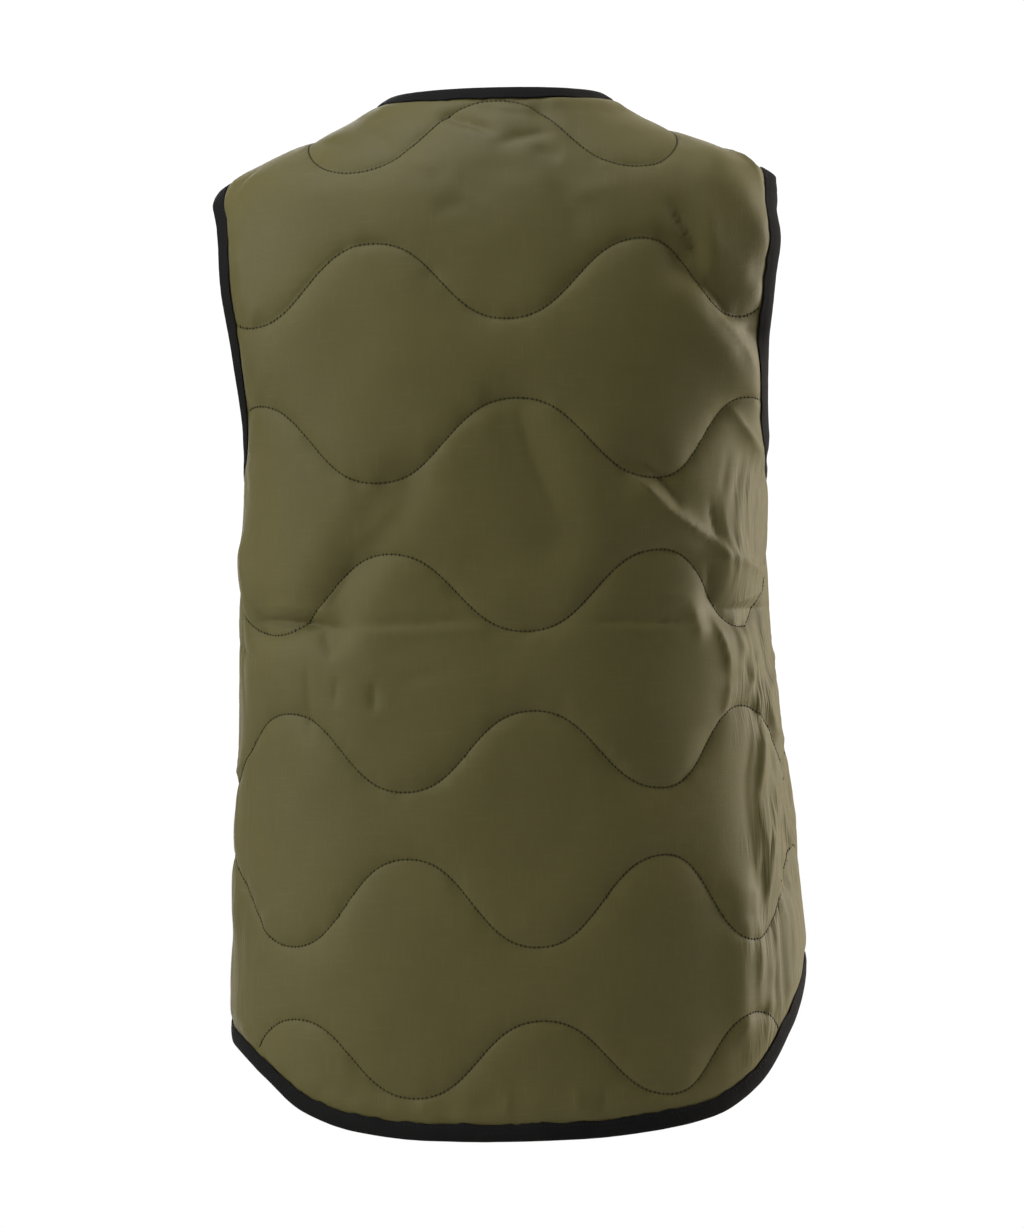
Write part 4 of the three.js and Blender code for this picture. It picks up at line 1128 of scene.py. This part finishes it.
def tape_sections(chain, is_closed, seed):
    """Points of the tape, one section of them for each station, their grain coordinates, and the
    line that its stitches follow."""
    outward, along = tape_frame(chain, is_closed)
    wobble = tape_waves(along, TAPE_WOBBLE, seed)
    swell = tape_waves(along, TAPE_SWELL, seed + len(TAPE_WOBBLE))
    columns, across = [], []

    def add(points, place):
        columns.append(points)
        across.append(place)

    def face(panel_face, side, row):
        border, edge, normal = chain[:, panel_face], chain[:, panel_face + 2], chain[:, 4]
        place = row["place"] + wobble * (1 - row["place"])
        height = row["rise"] + swell * row["rise"] * SWELL_ON_FACE
        base = border + (edge - border) * place[:, None]
        blended = unit(normal * (1 - row["place"]) + chain[:, 5] * row["place"])
        return base + side * blended * height[:, None]

    for row in TAPE_FACE:
        add(face(0, 1, row), row["place"] * BINDING_WIDTH)
    middle = (chain[:, 2] + chain[:, 3]) / 2
    half = np.linalg.norm(chain[:, 2] - chain[:, 3], axis=1)[:, None] / 2
    radius = half + TAPE_ROUND + SWELL_ON_FOLD * swell[:, None]
    for turn in TAPE_TURN:
        spoke = outward * math.cos(turn) + chain[:, 5] * math.sin(turn)
        add(middle + spoke * radius, TAPE_FOLD_PLACE * BINDING_WIDTH)
    for row in TAPE_FACE[::-1]:
        add(face(1, -1, row), (2 * TAPE_FOLD_PLACE - row["place"]) * BINDING_WIDTH)
    for panel_face, side, reach in ((1, -1, 0), (3, -1, 1), (2, 1, 1), (0, 1, 0)):
        normal = chain[:, 5] if reach else chain[:, 4]
        add(chain[:, panel_face] + (side * normal + reach * outward) * BINDING_GAP, 0.0)
    points = np.stack(columns, axis=1)
    grain = np.stack(np.broadcast_arrays(along[:, None], np.array(across)), axis=-1)
    return points, grain, points[:, TAPE_STITCH]


def make_tape(name, chain, is_closed, seed, material):
    points, grain, stitch_line = tape_sections(chain, is_closed, seed)
    count, corners = points.shape[:2]
    numbers = np.arange(count * corners).reshape(count, corners)
    here = numbers if is_closed else numbers[:-1]
    ahead = np.roll(numbers, -1, axis=0) if is_closed else numbers[1:]
    faces = np.stack([here, np.roll(here, -1, axis=1), np.roll(ahead, -1, axis=1), ahead], axis=-1)
    faces = faces.reshape(-1, 4)
    run = chain[1, 2] - chain[0, 2]
    outward = chain[0, 2] - chain[0, 0]
    is_turned = np.cross(outward, chain[0, 5]) @ run < 0
    if is_turned:
        faces = faces[:, ::-1]
    faces = [tuple(face) for face in faces.tolist()]
    if not is_closed:
        first, last = numbers[0].tolist(), numbers[-1].tolist()
        if is_turned:
            first, last = first[::-1], last[::-1]
        faces += [tuple(first[::-1]), tuple(last)]
    piece = new_object(name, points.reshape(-1, 3), faces, material)
    lay_grain(piece, grain.reshape(-1, 2))
    return piece, stitch_line


# Sewing threads

def beads(centres, runs, normals, lengths, radius):
    """Points and faces of rounded beads of thread and of painted shade, one at each centre."""
    side = unit(np.cross(runs, normals))
    turn = np.linspace(0, 2 * math.pi, STITCH_SIDES, endpoint=False)
    spokes = side[:, None] * np.cos(turn)[:, None] + normals[:, None] * np.sin(turn)[:, None]
    rings = [
        (centres + runs * (ring["along"] * lengths)[:, None] - normals * ring["sink"])[:, None]
        + spokes * ring["radius"] * radius
        for ring in STITCH_RINGS
    ]
    points = np.stack(rings, axis=1)
    numbers = np.arange(points[..., 0].size).reshape(points.shape[:3])
    low, high = numbers[:, :-1], numbers[:, 1:]
    faces = np.stack([low, high, np.roll(high, -1, axis=2), np.roll(low, -1, axis=2)], axis=-1)
    ends = np.concatenate([numbers[:, 0], numbers[:, -1][:, ::-1]])
    return points.reshape(-1, 3), faces.reshape(-1, 4).tolist() + ends.tolist()


def spread(number, amount, seed):
    size, pace = amount
    return size * noise(number * pace, number * 0.0, seed)


def stitches_along(line, normals, seed, has_pricks):
    """A row of stitches laid along a line on the cloth. Where the needle went in between them, the
    thread dimples quilted cloth, and a short upright dark prick is laid there as painted shade."""
    lengths = np.concatenate([[0], np.cumsum(np.linalg.norm(np.diff(line, axis=0), axis=1))])
    count = int(lengths[-1] / STITCH_PITCH)
    if count < 1:
        return []
    number = np.arange(count)
    middle = (number + 0.5) * STITCH_PITCH + spread(number, PLACE_SPREAD, seed)

    def at(distance, values):
        return np.column_stack([np.interp(distance, lengths, values[:, axis]) for axis in range(3)])

    normal = unit(at(middle, normals))
    run = unit(at(middle + 1, line) - at(middle - 1, line))
    reach = STITCH_LENGTH * (1 + spread(number, LENGTH_SPREAD, seed + 1))
    made = [beads(at(middle, line) + normal * THREAD_LIFT, run, normal, reach, THREAD_RADIUS)]
    # Painted shade: dark pricks laid where the needle holes dimple the cloth
    if has_pricks:
        between_them = middle + STITCH_PITCH / 2
        normal = unit(at(between_them, normals))
        upright = unit(np.array([0, 0, 1]) - normal * normal[:, 2:])
        reach = PRICK_LENGTH * (1 + spread(number, PRICK_SPREAD, seed + 2))
        centres = at(between_them, line) + normal * PRICK_LIFT
        made.append(beads(centres, upright, normal, reach, PRICK_RADIUS))
    return made


def make_stitches(name, rows, material, prick_shade_material=None):
    """One mesh of every stitch along several lines, each given with its normals."""
    all_points, all_faces, slots = [], [], []
    start = 0
    for seed, (line, normals) in enumerate(rows):
        made = stitches_along(line, normals, 101 + seed, prick_shade_material is not None)
        for slot, (points, faces) in enumerate(made):
            all_points.append(points)
            all_faces += [tuple(corner + start for corner in face) for face in faces]
            slots += [slot] * len(faces)
            start += len(points)
    piece = new_object(name, np.concatenate(all_points), all_faces, material)
    # The pricks take the dark material that paints the needle holes' shade
    if prick_shade_material:
        piece.data.materials.append(prick_shade_material)
        piece.data.polygons.foreach_set("material_index", slots)
    return piece


def over_the_cloth(panel, line):
    """Points and normals of a sewn line, given as (column, step) of the net. Where it climbs more
    than one step from a column to the next, it also crosses the edges of the net in between."""
    points, normals = [], []
    for (column, step), (next_column, next_step) in zip(line, line[1:] + line[-1:]):
        count = max(1, abs(next_step - step))
        for part in range(count):
            at = step + part * (1 if next_step > step else -1)
            first, second = panel.net[at, column], panel.net[at, next_column]
            if first >= 0 and second >= 0:
                share = part / count
                points.append(panel.outer[first] * (1 - share) + panel.outer[second] * share)
                normals.append(panel.normal[first])
    return np.array(points), np.array(normals)


def quilting_rows(panel):
    """Lines of the stitch rows over a panel, clear of its bindings."""
    rows = []
    for number in range(1, len(STITCH_ROWS) + 1):
        lines = []
        for column in range(panel.net.shape[1]):
            ids = panel.net[:, column]
            is_sewn = (ids >= 0) & (panel.stitched[ids] == number)
            is_sewn &= panel.from_binding[ids] > CLEAR_OF_BINDING
            for step in np.nonzero(is_sewn)[0].tolist():
                reached = [line for line in lines if line[-1][0] == column - 1]
                nearest = min(reached, key=lambda line: abs(line[-1][1] - step), default=None)
                if nearest and abs(nearest[-1][1] - step) < STEEPEST_JUMP:
                    nearest.append((column, step))
                else:
                    lines.append([(column, step)])
        rows += [over_the_cloth(panel, line) for line in lines if len(line) >= SHORTEST_ROW]
    return rows


# Snap caps

def make_snap(number, material):
    z = SNAP_TOP_Z - number * SNAP_PITCH
    place = np.array([2.0]), np.array([z])
    lift = Cloth(*place, np.array([FAR_FROM_BINDING])).lift + SNAP_GAP
    seat = ring_point(*place) + ring_normal(*place) * lift[:, None]
    turn = np.linspace(0, 2 * math.pi, CAP_SIDES, endpoint=False)
    points = [(0, 0, 0)]
    for radius, height in CAP_PROFILE.tolist():
        points += [(radius * math.cos(t), radius * math.sin(t), height) for t in turn]
    points.append((0, 0, CAP_TOP))
    faces = []
    for step in range(CAP_SIDES):
        following = (step + 1) % CAP_SIDES
        faces.append((0, 1 + following, 1 + step))
        for ring in range(len(CAP_PROFILE) - 1):
            low, high = 1 + ring * CAP_SIDES, 1 + (ring + 1) * CAP_SIDES
            faces.append((low + step, low + following, high + following, high + step))
        top = 1 + (len(CAP_PROFILE) - 1) * CAP_SIDES
        faces.append((top + step, top + following, len(points) - 1))
    normal = Vector(ring_normal(*place)[0])
    stand = normal.to_track_quat("Z", "Y").to_matrix()
    placed = np.array(points) @ np.array(stand).T + seat[0]
    return new_object(f"snap_{number + 1}", placed, faces, material)


# Materials

def add_node(tree, kind, inputs=None, **settings):
    node = tree.nodes.new(kind)
    for name, value in settings.items():
        setattr(node, name, value)
    for socket, value in (inputs or {}).items():
        if isinstance(value, bpy.types.NodeSocket):
            tree.links.new(value, node.inputs[socket])
        else:
            node.inputs[socket].default_value = value
    return node


def math_node(tree, operation, *values):
    inputs = dict(enumerate(values))
    return add_node(tree, "ShaderNodeMath", inputs, operation=operation).outputs[0]


def mix_colours(tree, factor, first, second):
    inputs = {0: factor, 6: first, 7: second}
    return add_node(tree, "ShaderNodeMix", inputs, data_type="RGBA").outputs[2]


def map_range(tree, value, low, high, start=0.0, end=1.0, **settings):
    """A value with its range from low to high moved onto the one from start to end."""
    inputs = {0: value, 1: low, 2: high, 3: start, 4: end}
    return add_node(tree, "ShaderNodeMapRange", inputs, **settings).outputs[0]


def noise_node(tree, place, scale, detail, distortion=0.0):
    inputs = {"Vector": place, "Scale": scale, "Detail": detail, "Distortion": distortion}
    return add_node(tree, "ShaderNodeTexNoise", inputs).outputs["Fac"]


def stretched(tree, place, factors):
    inputs = {0: place, 1: factors}
    return add_node(tree, "ShaderNodeVectorMath", inputs, operation="MULTIPLY").outputs[0]


def bump_node(tree, height, strength, distance, **more):
    inputs = {"Height": height, "Strength": strength, "Distance": distance, **more}
    return add_node(tree, "ShaderNodeBump", inputs).outputs[0]


def object_place(tree):
    return add_node(tree, "ShaderNodeTexCoord").outputs["Object"]


def feed(tree, node, sockets):
    for socket, value in sockets.items():
        tree.links.new(value, node.inputs[socket])


def new_group(name, inputs, outputs):
    """A shader node group with named sockets. Returns it with its input and output nodes."""
    group = bpy.data.node_groups.new(name, "ShaderNodeTree")
    for socket, kind, value in inputs:
        made = group.interface.new_socket(name=socket, in_out="INPUT", socket_type=kind)
        if value is not None:
            made.default_value = value
    for socket, kind in outputs:
        group.interface.new_socket(name=socket, in_out="OUTPUT", socket_type=kind)
    return group, group.nodes.new("NodeGroupInput"), group.nodes.new("NodeGroupOutput")


def weave_group():
    """Threads of a plain weave over grain coordinates, with slubs along them."""
    group, given, result = new_group(
        "woven threads",
        [("Grain", "NodeSocketVector", None), ("Threads", "NodeSocketFloat", 2400.0),
         ("Slub Scale", "NodeSocketFloat", 1.0)],
        [("Height", "NodeSocketFloat"), ("Slubs", "NodeSocketFloat")],
    )
    grain = given.outputs["Grain"]
    split = add_node(group, "ShaderNodeSeparateXYZ", {0: grain})
    waves = []
    for axis in ("X", "Y"):
        scaled = math_node(group, "MULTIPLY", split.outputs[axis], given.outputs["Threads"])
        waves.append(math_node(group, "SINE", scaled))
    crossed = math_node(group, "MULTIPLY", *waves)
    slubs = [
        noise_node(group, stretched(group, grain, factors), given.outputs["Slub Scale"], 2.0)
        for factors in ((900.0, 45.0, 1.0), (45.0, 900.0, 1.0))
    ]
    feed(group, result, {
        "Height": math_node(group, "MULTIPLY_ADD", crossed, 0.5, 0.5),
        "Slubs": math_node(group, "MAXIMUM", *slubs),
    })
    return group


def mottle_group():
    """Uneven dye: a soft mix of two colours at two scales."""
    group, given, result = new_group(
        "uneven dye",
        [("Light", "NodeSocketColor", None), ("Dark", "NodeSocketColor", None),
         ("Scale", "NodeSocketFloat", 9.0)],
        [("Colour", "NodeSocketColor"), ("Mask", "NodeSocketFloat")],
    )
    place = object_place(group)
    broad = noise_node(group, place, given.outputs["Scale"], 3.0)
    fine = noise_node(group, place, math_node(group, "MULTIPLY", given.outputs["Scale"], 14.0), 4.0)
    patches = math_node(group, "MULTIPLY", map_range(group, broad, 0.35, 0.65), 0.65)
    mask = math_node(group, "MULTIPLY_ADD", fine, 0.35, patches)
    colour = mix_colours(group, mask, given.outputs["Dark"], given.outputs["Light"])
    feed(group, result, {"Colour": colour, "Mask": mask})
    return group


def wear_group():
    """Rubbed edges: where the surface turns sharply outwards, broken up by a fine grain."""
    group, given, result = new_group(
        "rubbed edges",
        [("Amount", "NodeSocketFloat", 1.0)],
        [("Mask", "NodeSocketFloat")],
    )
    sharp = add_node(group, "ShaderNodeNewGeometry").outputs["Pointiness"]
    grain = noise_node(group, object_place(group), 420.0, 3.0)
    broken = math_node(group, "MULTIPLY", map_range(group, sharp, 0.52, 0.62), grain)
    feed(group, result, {"Mask": math_node(group, "MULTIPLY", broken, given.outputs["Amount"])})
    return group


def place_group(tree, group, inputs):
    return add_node(tree, "ShaderNodeGroup", inputs, node_tree=group)


def new_material(name, **sockets):
    """A material whose shader has the given constant values. Returns it, its tree and shader."""
    material = bpy.data.materials.new(name)
    material.use_nodes = True
    tree = material.node_tree
    shader = tree.nodes["Principled BSDF"]
    for socket, value in sockets.items():
        shader.inputs[socket.replace("_", " ")].default_value = value
    return material, tree, shader


def grain_of(tree):
    return add_node(tree, "ShaderNodeUVMap", uv_map="grain").outputs["UV"]


def fine_streaks(tree, grain):
    """Height of hair-fine upright creases, where the cloth turns round the wearer's sides."""
    streak = noise_node(tree, stretched(tree, grain, (170.0, 16.0, 1.0)), 1.0, 2.0, 0.8)
    folded = math_node(tree, "ABSOLUTE", math_node(tree, "SUBTRACT", streak, 0.5))
    patch = map_range(tree, noise_node(tree, grain, 22.0, 1.0), 0.4, 0.62)
    split = add_node(tree, "ShaderNodeSeparateXYZ", {0: grain})
    away = math_node(tree, "ABSOLUTE", split.outputs["X"])
    height = math_node(tree, "MULTIPLY", folded, patch)
    for value, low, high, start, end in (
        (away, 0.145, 0.195, 0.0, 1.0),
        (away, 0.24, 0.32, 1.0, 0.0),
        (split.outputs["X"], -0.05, 0.05, 0.3, 1.0),
        (split.outputs["Y"], -0.22, -0.26, 0.0, 1.0),
    ):
        fade = map_range(tree, value, low, high, start, end, interpolation_type="SMOOTHSTEP")
        height = math_node(tree, "MULTIPLY", height, fade)
    return height


def quilted_cloth_material(groups):
    material, tree, shader = new_material(
        "olive quilted cloth", Specular_IOR_Level=0.16, Sheen_Weight=0.17, Sheen_Roughness=0.25,
        Sheen_Tint=(1.0, 0.88, 0.78, 1),
    )
    grain = grain_of(tree)
    weave = place_group(tree, groups["weave"], {"Grain": grain, "Threads": 5200.0, "Slub Scale": 1.0})
    dye = place_group(tree, groups["mottle"], {
        "Light": (0.068, 0.059, 0.0175, 1), "Dark": (0.056, 0.0485, 0.0140, 1), "Scale": 8.0,
    })
    slub = math_node(tree, "MULTIPLY", map_range(tree, weave.outputs["Slubs"], 0.56, 0.76), 0.11)
    streaked = mix_colours(tree, slub, dye.outputs["Colour"], (0.15, 0.135, 0.07, 1))
    # Painted shade: the base colour darkens towards near-black olive in the hollows between the woven
    # threads
    shade = map_range(tree, weave.outputs["Height"], 0.0, 1.0, 0.16, 0.0)
    relief = math_node(tree, "MULTIPLY_ADD", weave.outputs["Slubs"], 0.8, weave.outputs["Height"])
    creased = bump_node(tree, fine_streaks(tree, grain), 1.0, 0.0035)
    feed(tree, shader, {
        "Base Color": mix_colours(tree, shade, streaked, (0.02, 0.018, 0.008, 1)),
        "Roughness": map_range(tree, dye.outputs["Mask"], 0.0, 1.0, 0.5, 0.64),
        "Normal": bump_node(tree, relief, 0.35, 0.0003, Normal=creased),
    })
    return material


def binding_material(groups):
    material, tree, shader = new_material("black binding tape", Specular_IOR_Level=0.05)
    grain = grain_of(tree)
    weave = place_group(tree, groups["weave"], {"Grain": grain, "Threads": 4200.0, "Slub Scale": 1.4})
    dye = place_group(tree, groups["mottle"], {
        "Light": (0.0066, 0.0063, 0.0066, 1), "Dark": (0.0044, 0.0042, 0.0046, 1), "Scale": 30.0,
    })
    wear = place_group(tree, groups["wear"], {"Amount": 0.35})
    height = weave.outputs["Height"]
    worn_colour = (0.03, 0.03, 0.03, 1)
    feed(tree, shader, {
        "Base Color": mix_colours(tree, wear.outputs["Mask"], dye.outputs["Colour"], worn_colour),
        "Roughness": map_range(tree, height, 0.0, 1.0, 0.85, 0.7),
        "Normal": bump_node(tree, height, 0.5, 0.0003),
    })
    return material


def thread_and_hole_shade_material(groups, name, light, dark):
    """Twisted sewing thread: fine slanting ridges. In a dark tone it paints the needle holes' shade."""
    material, tree, shader = new_material(name, Specular_IOR_Level=0.1)
    dye = place_group(tree, groups["mottle"], {"Light": light, "Dark": dark, "Scale": 60.0})
    inputs = {"Vector": object_place(tree), "Scale": 900.0, "Distortion": 1.0}
    twist = add_node(tree, "ShaderNodeTexWave", inputs, bands_direction="DIAGONAL").outputs["Fac"]
    feed(tree, shader, {
        "Base Color": dye.outputs["Colour"],
        "Roughness": map_range(tree, twist, 0.0, 1.0, 0.5, 0.7),
        "Normal": bump_node(tree, twist, 0.5, 0.0001),
    })
    return material


def snap_material(groups):
    material, tree, shader = new_material("dark snap metal", Metallic=0.6)
    dye = place_group(tree, groups["mottle"], {
        "Light": (0.02, 0.02, 0.019, 1), "Dark": (0.011, 0.011, 0.011, 1), "Scale": 80.0,
    })
    wear = place_group(tree, groups["wear"], {"Amount": 1.2})
    worn_colour = (0.22, 0.2, 0.17, 1)
    grain = noise_node(tree, object_place(tree), 2500.0, 2.0)
    feed(tree, shader, {
        "Base Color": mix_colours(tree, wear.outputs["Mask"], dye.outputs["Colour"], worn_colour),
        "Roughness": map_range(tree, dye.outputs["Mask"], 0.0, 1.0, 0.34, 0.5),
        "Normal": bump_node(tree, grain, 0.15, 0.0001),
    })
    return material


# Camera, light and floor

def make_camera():
    away = Vector((-math.sin(CAMERA_TURN), math.cos(CAMERA_TURN), 0))
    to_right = Vector((-math.cos(CAMERA_TURN), -math.sin(CAMERA_TURN), 0))
    up = Vector((0, 0, 1))
    right_axis = to_right * math.cos(CAMERA_ROLL) - up * math.sin(CAMERA_ROLL)
    up_axis = to_right * math.sin(CAMERA_ROLL) + up * math.cos(CAMERA_ROLL)
    data = bpy.data.cameras.new("view from behind")
    data.sensor_fit = "AUTO"
    data.sensor_width = SENSOR_SIZE
    data.lens = SENSOR_SIZE * CAMERA_DISTANCE / FRAME_HEIGHT
    camera = bpy.data.objects.new("view from behind", data)
    camera.matrix_world = Matrix((right_axis, up_axis, away)).transposed().to_4x4()
    camera.location = (away * CAMERA_DISTANCE + to_right * CAMERA_SHIFT + up * CAMERA_Z) * MM
    bpy.context.scene.collection.objects.link(camera)
    bpy.context.scene.camera = camera


def make_light(name, place, target, size, power, colour):
    data = bpy.data.lights.new(name, "AREA")
    data.shape = "RECTANGLE"
    data.size, data.size_y = size
    data.energy = power
    data.color = colour
    light = bpy.data.objects.new(name, data)
    light.location = place
    light.rotation_euler = (Vector(target) - Vector(place)).to_track_quat("-Z", "Y").to_euler()
    bpy.context.scene.collection.objects.link(light)


def make_world():
    world = bpy.data.worlds.new("soft studio")
    bpy.context.scene.world = world
    world.use_nodes = True
    tree = world.node_tree
    tree.nodes.clear()
    seen = add_node(tree, "ShaderNodeBackground", {0: (1, 1, 1, 1), 1: 1.05})
    lighting = add_node(tree, "ShaderNodeBackground", {0: (0.97, 0.98, 1.0, 1), 1: WORLD_STRENGTH})
    path = add_node(tree, "ShaderNodeLightPath")
    mixed = add_node(tree, "ShaderNodeMixShader", {
        0: path.outputs["Is Camera Ray"], 1: lighting.outputs[0], 2: seen.outputs[0],
    })
    add_node(tree, "ShaderNodeOutputWorld", {"Surface": mixed.outputs[0]})


def make_floor():
    """A pale floor that shows as the same white as the room."""
    material, tree, shader = new_material("pale studio floor", Roughness=0.9)
    shader.inputs["Base Color"].default_value = (0.6, 0.6, 0.59, 1)
    white = add_node(tree, "ShaderNodeEmission", {"Color": (1, 1, 1, 1), "Strength": 1.0})
    path = add_node(tree, "ShaderNodeLightPath")
    mixed = add_node(tree, "ShaderNodeMixShader", {
        0: path.outputs["Is Camera Ray"], 1: shader.outputs[0], 2: white.outputs[0],
    })
    tree.links.new(mixed.outputs[0], tree.nodes["Material Output"].inputs["Surface"])
    corners = [
        (x * FLOOR_REACH, y * FLOOR_REACH, FLOOR_Z) for x, y in ((-1, -1), (1, -1), (1, 1), (-1, 1))
    ]
    floor = new_object("floor", corners, [(0, 1, 2, 3)], material, False)


# The vest

def make_panels(panels, cloth, thread, needle_hole_shade):
    """The quilted pieces, each with its stitches."""
    pieces = {}
    for name, (panel, node) in panels.items():
        piece = make_panel(name, panel, cloth)
        sewing = make_stitches(f"{name}_stitches", quilting_rows(panel), thread, needle_hole_shade)
        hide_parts(node)
        pieces[name] = (piece, sewing)
    return pieces


def tape_runs(back, left, right):
    """The strips that each tape follows, end to end, and whether it closes."""
    left_edge, right_edge = stations(left, left.edge), stations(right, right.edge)
    left_join, right_join = left.hem_corner - DETAIL, right.hem_corner - DETAIL
    neck = [left_edge[left_join:], stations(back, back.neck), right_edge[right_join:][::-1]]
    hem = [left_edge[: left_join + 1][::-1], stations(back, back.hem), right_edge[: right_join + 1]]
    return {
        "left_armhole": ([stations(back, back.left_arm), stations(left, left.arm)[::-1]], True),
        "right_armhole": ([stations(back, back.right_arm), stations(right, right.arm)[::-1]], True),
        "neck_and_front": (neck, False),
        "hem": (hem, False),
    }


def make_tapes(tape_lines, tape, thread):
    """The bindings, each with its stitches."""
    tapes = {}
    for number, (name, (runs, is_closed)) in enumerate(tape_lines.items()):
        chain = join_runs(runs, is_closed)
        piece, line = make_tape(f"{name}_tape", chain, is_closed, TAPE_SEED + 10 * number, tape)
        if is_closed:
            line = np.concatenate([line, line[:1]])
            chain = np.concatenate([chain, chain[:1]])
        sewing = make_stitches(f"{name}_tape_stitches", [(line, chain[:, 4])], thread)
        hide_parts(f"{name}_binding")
        tapes[name] = (piece, sewing)
    return tapes


def make_vest():
    groups = {"weave": weave_group(), "mottle": mottle_group(), "wear": wear_group()}
    cloth = quilted_cloth_material(groups)
    tape = binding_material(groups)
    olive_thread = thread_and_hole_shade_material(groups, "olive thread", *OLIVE_THREAD)
    # Dark material of the pricks: painted shade of the needle holes
    needle_hole_shade = thread_and_hole_shade_material(groups, "painted shade of needle holes", *NEEDLE_HOLE_SHADE)
    black_thread = thread_and_hole_shade_material(groups, "black thread", *BLACK_THREAD)
    snap = snap_material(groups)
    back, left, right = build_back(), build_front(LEFT), build_front(RIGHT)
    panels = {
        "back_cloth": (back, "back_panel"),
        "left_front_cloth": (left, "left_front_panel"),
        "right_front_cloth": (right, "right_front_panel"),
    }
    pieces = make_panels(panels, cloth, olive_thread, needle_hole_shade)
    tapes = make_tapes(tape_runs(back, left, right), tape, black_thread)
    for number in range(SNAP_COUNT):
        cap = make_snap(number, snap)
        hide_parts(f"snap_cap_{number + 1}")
        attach(cap, "root")
    for piece, sewing in [*pieces.values(), *tapes.values()]:
        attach(piece, "root")
        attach(sewing, "root")


make_camera()
make_world()
make_floor()
for light_name, light_values in LIGHTS.items():
    make_light(light_name, *light_values)
bpy.context.scene.view_settings.view_transform = "Standard"
make_vest()
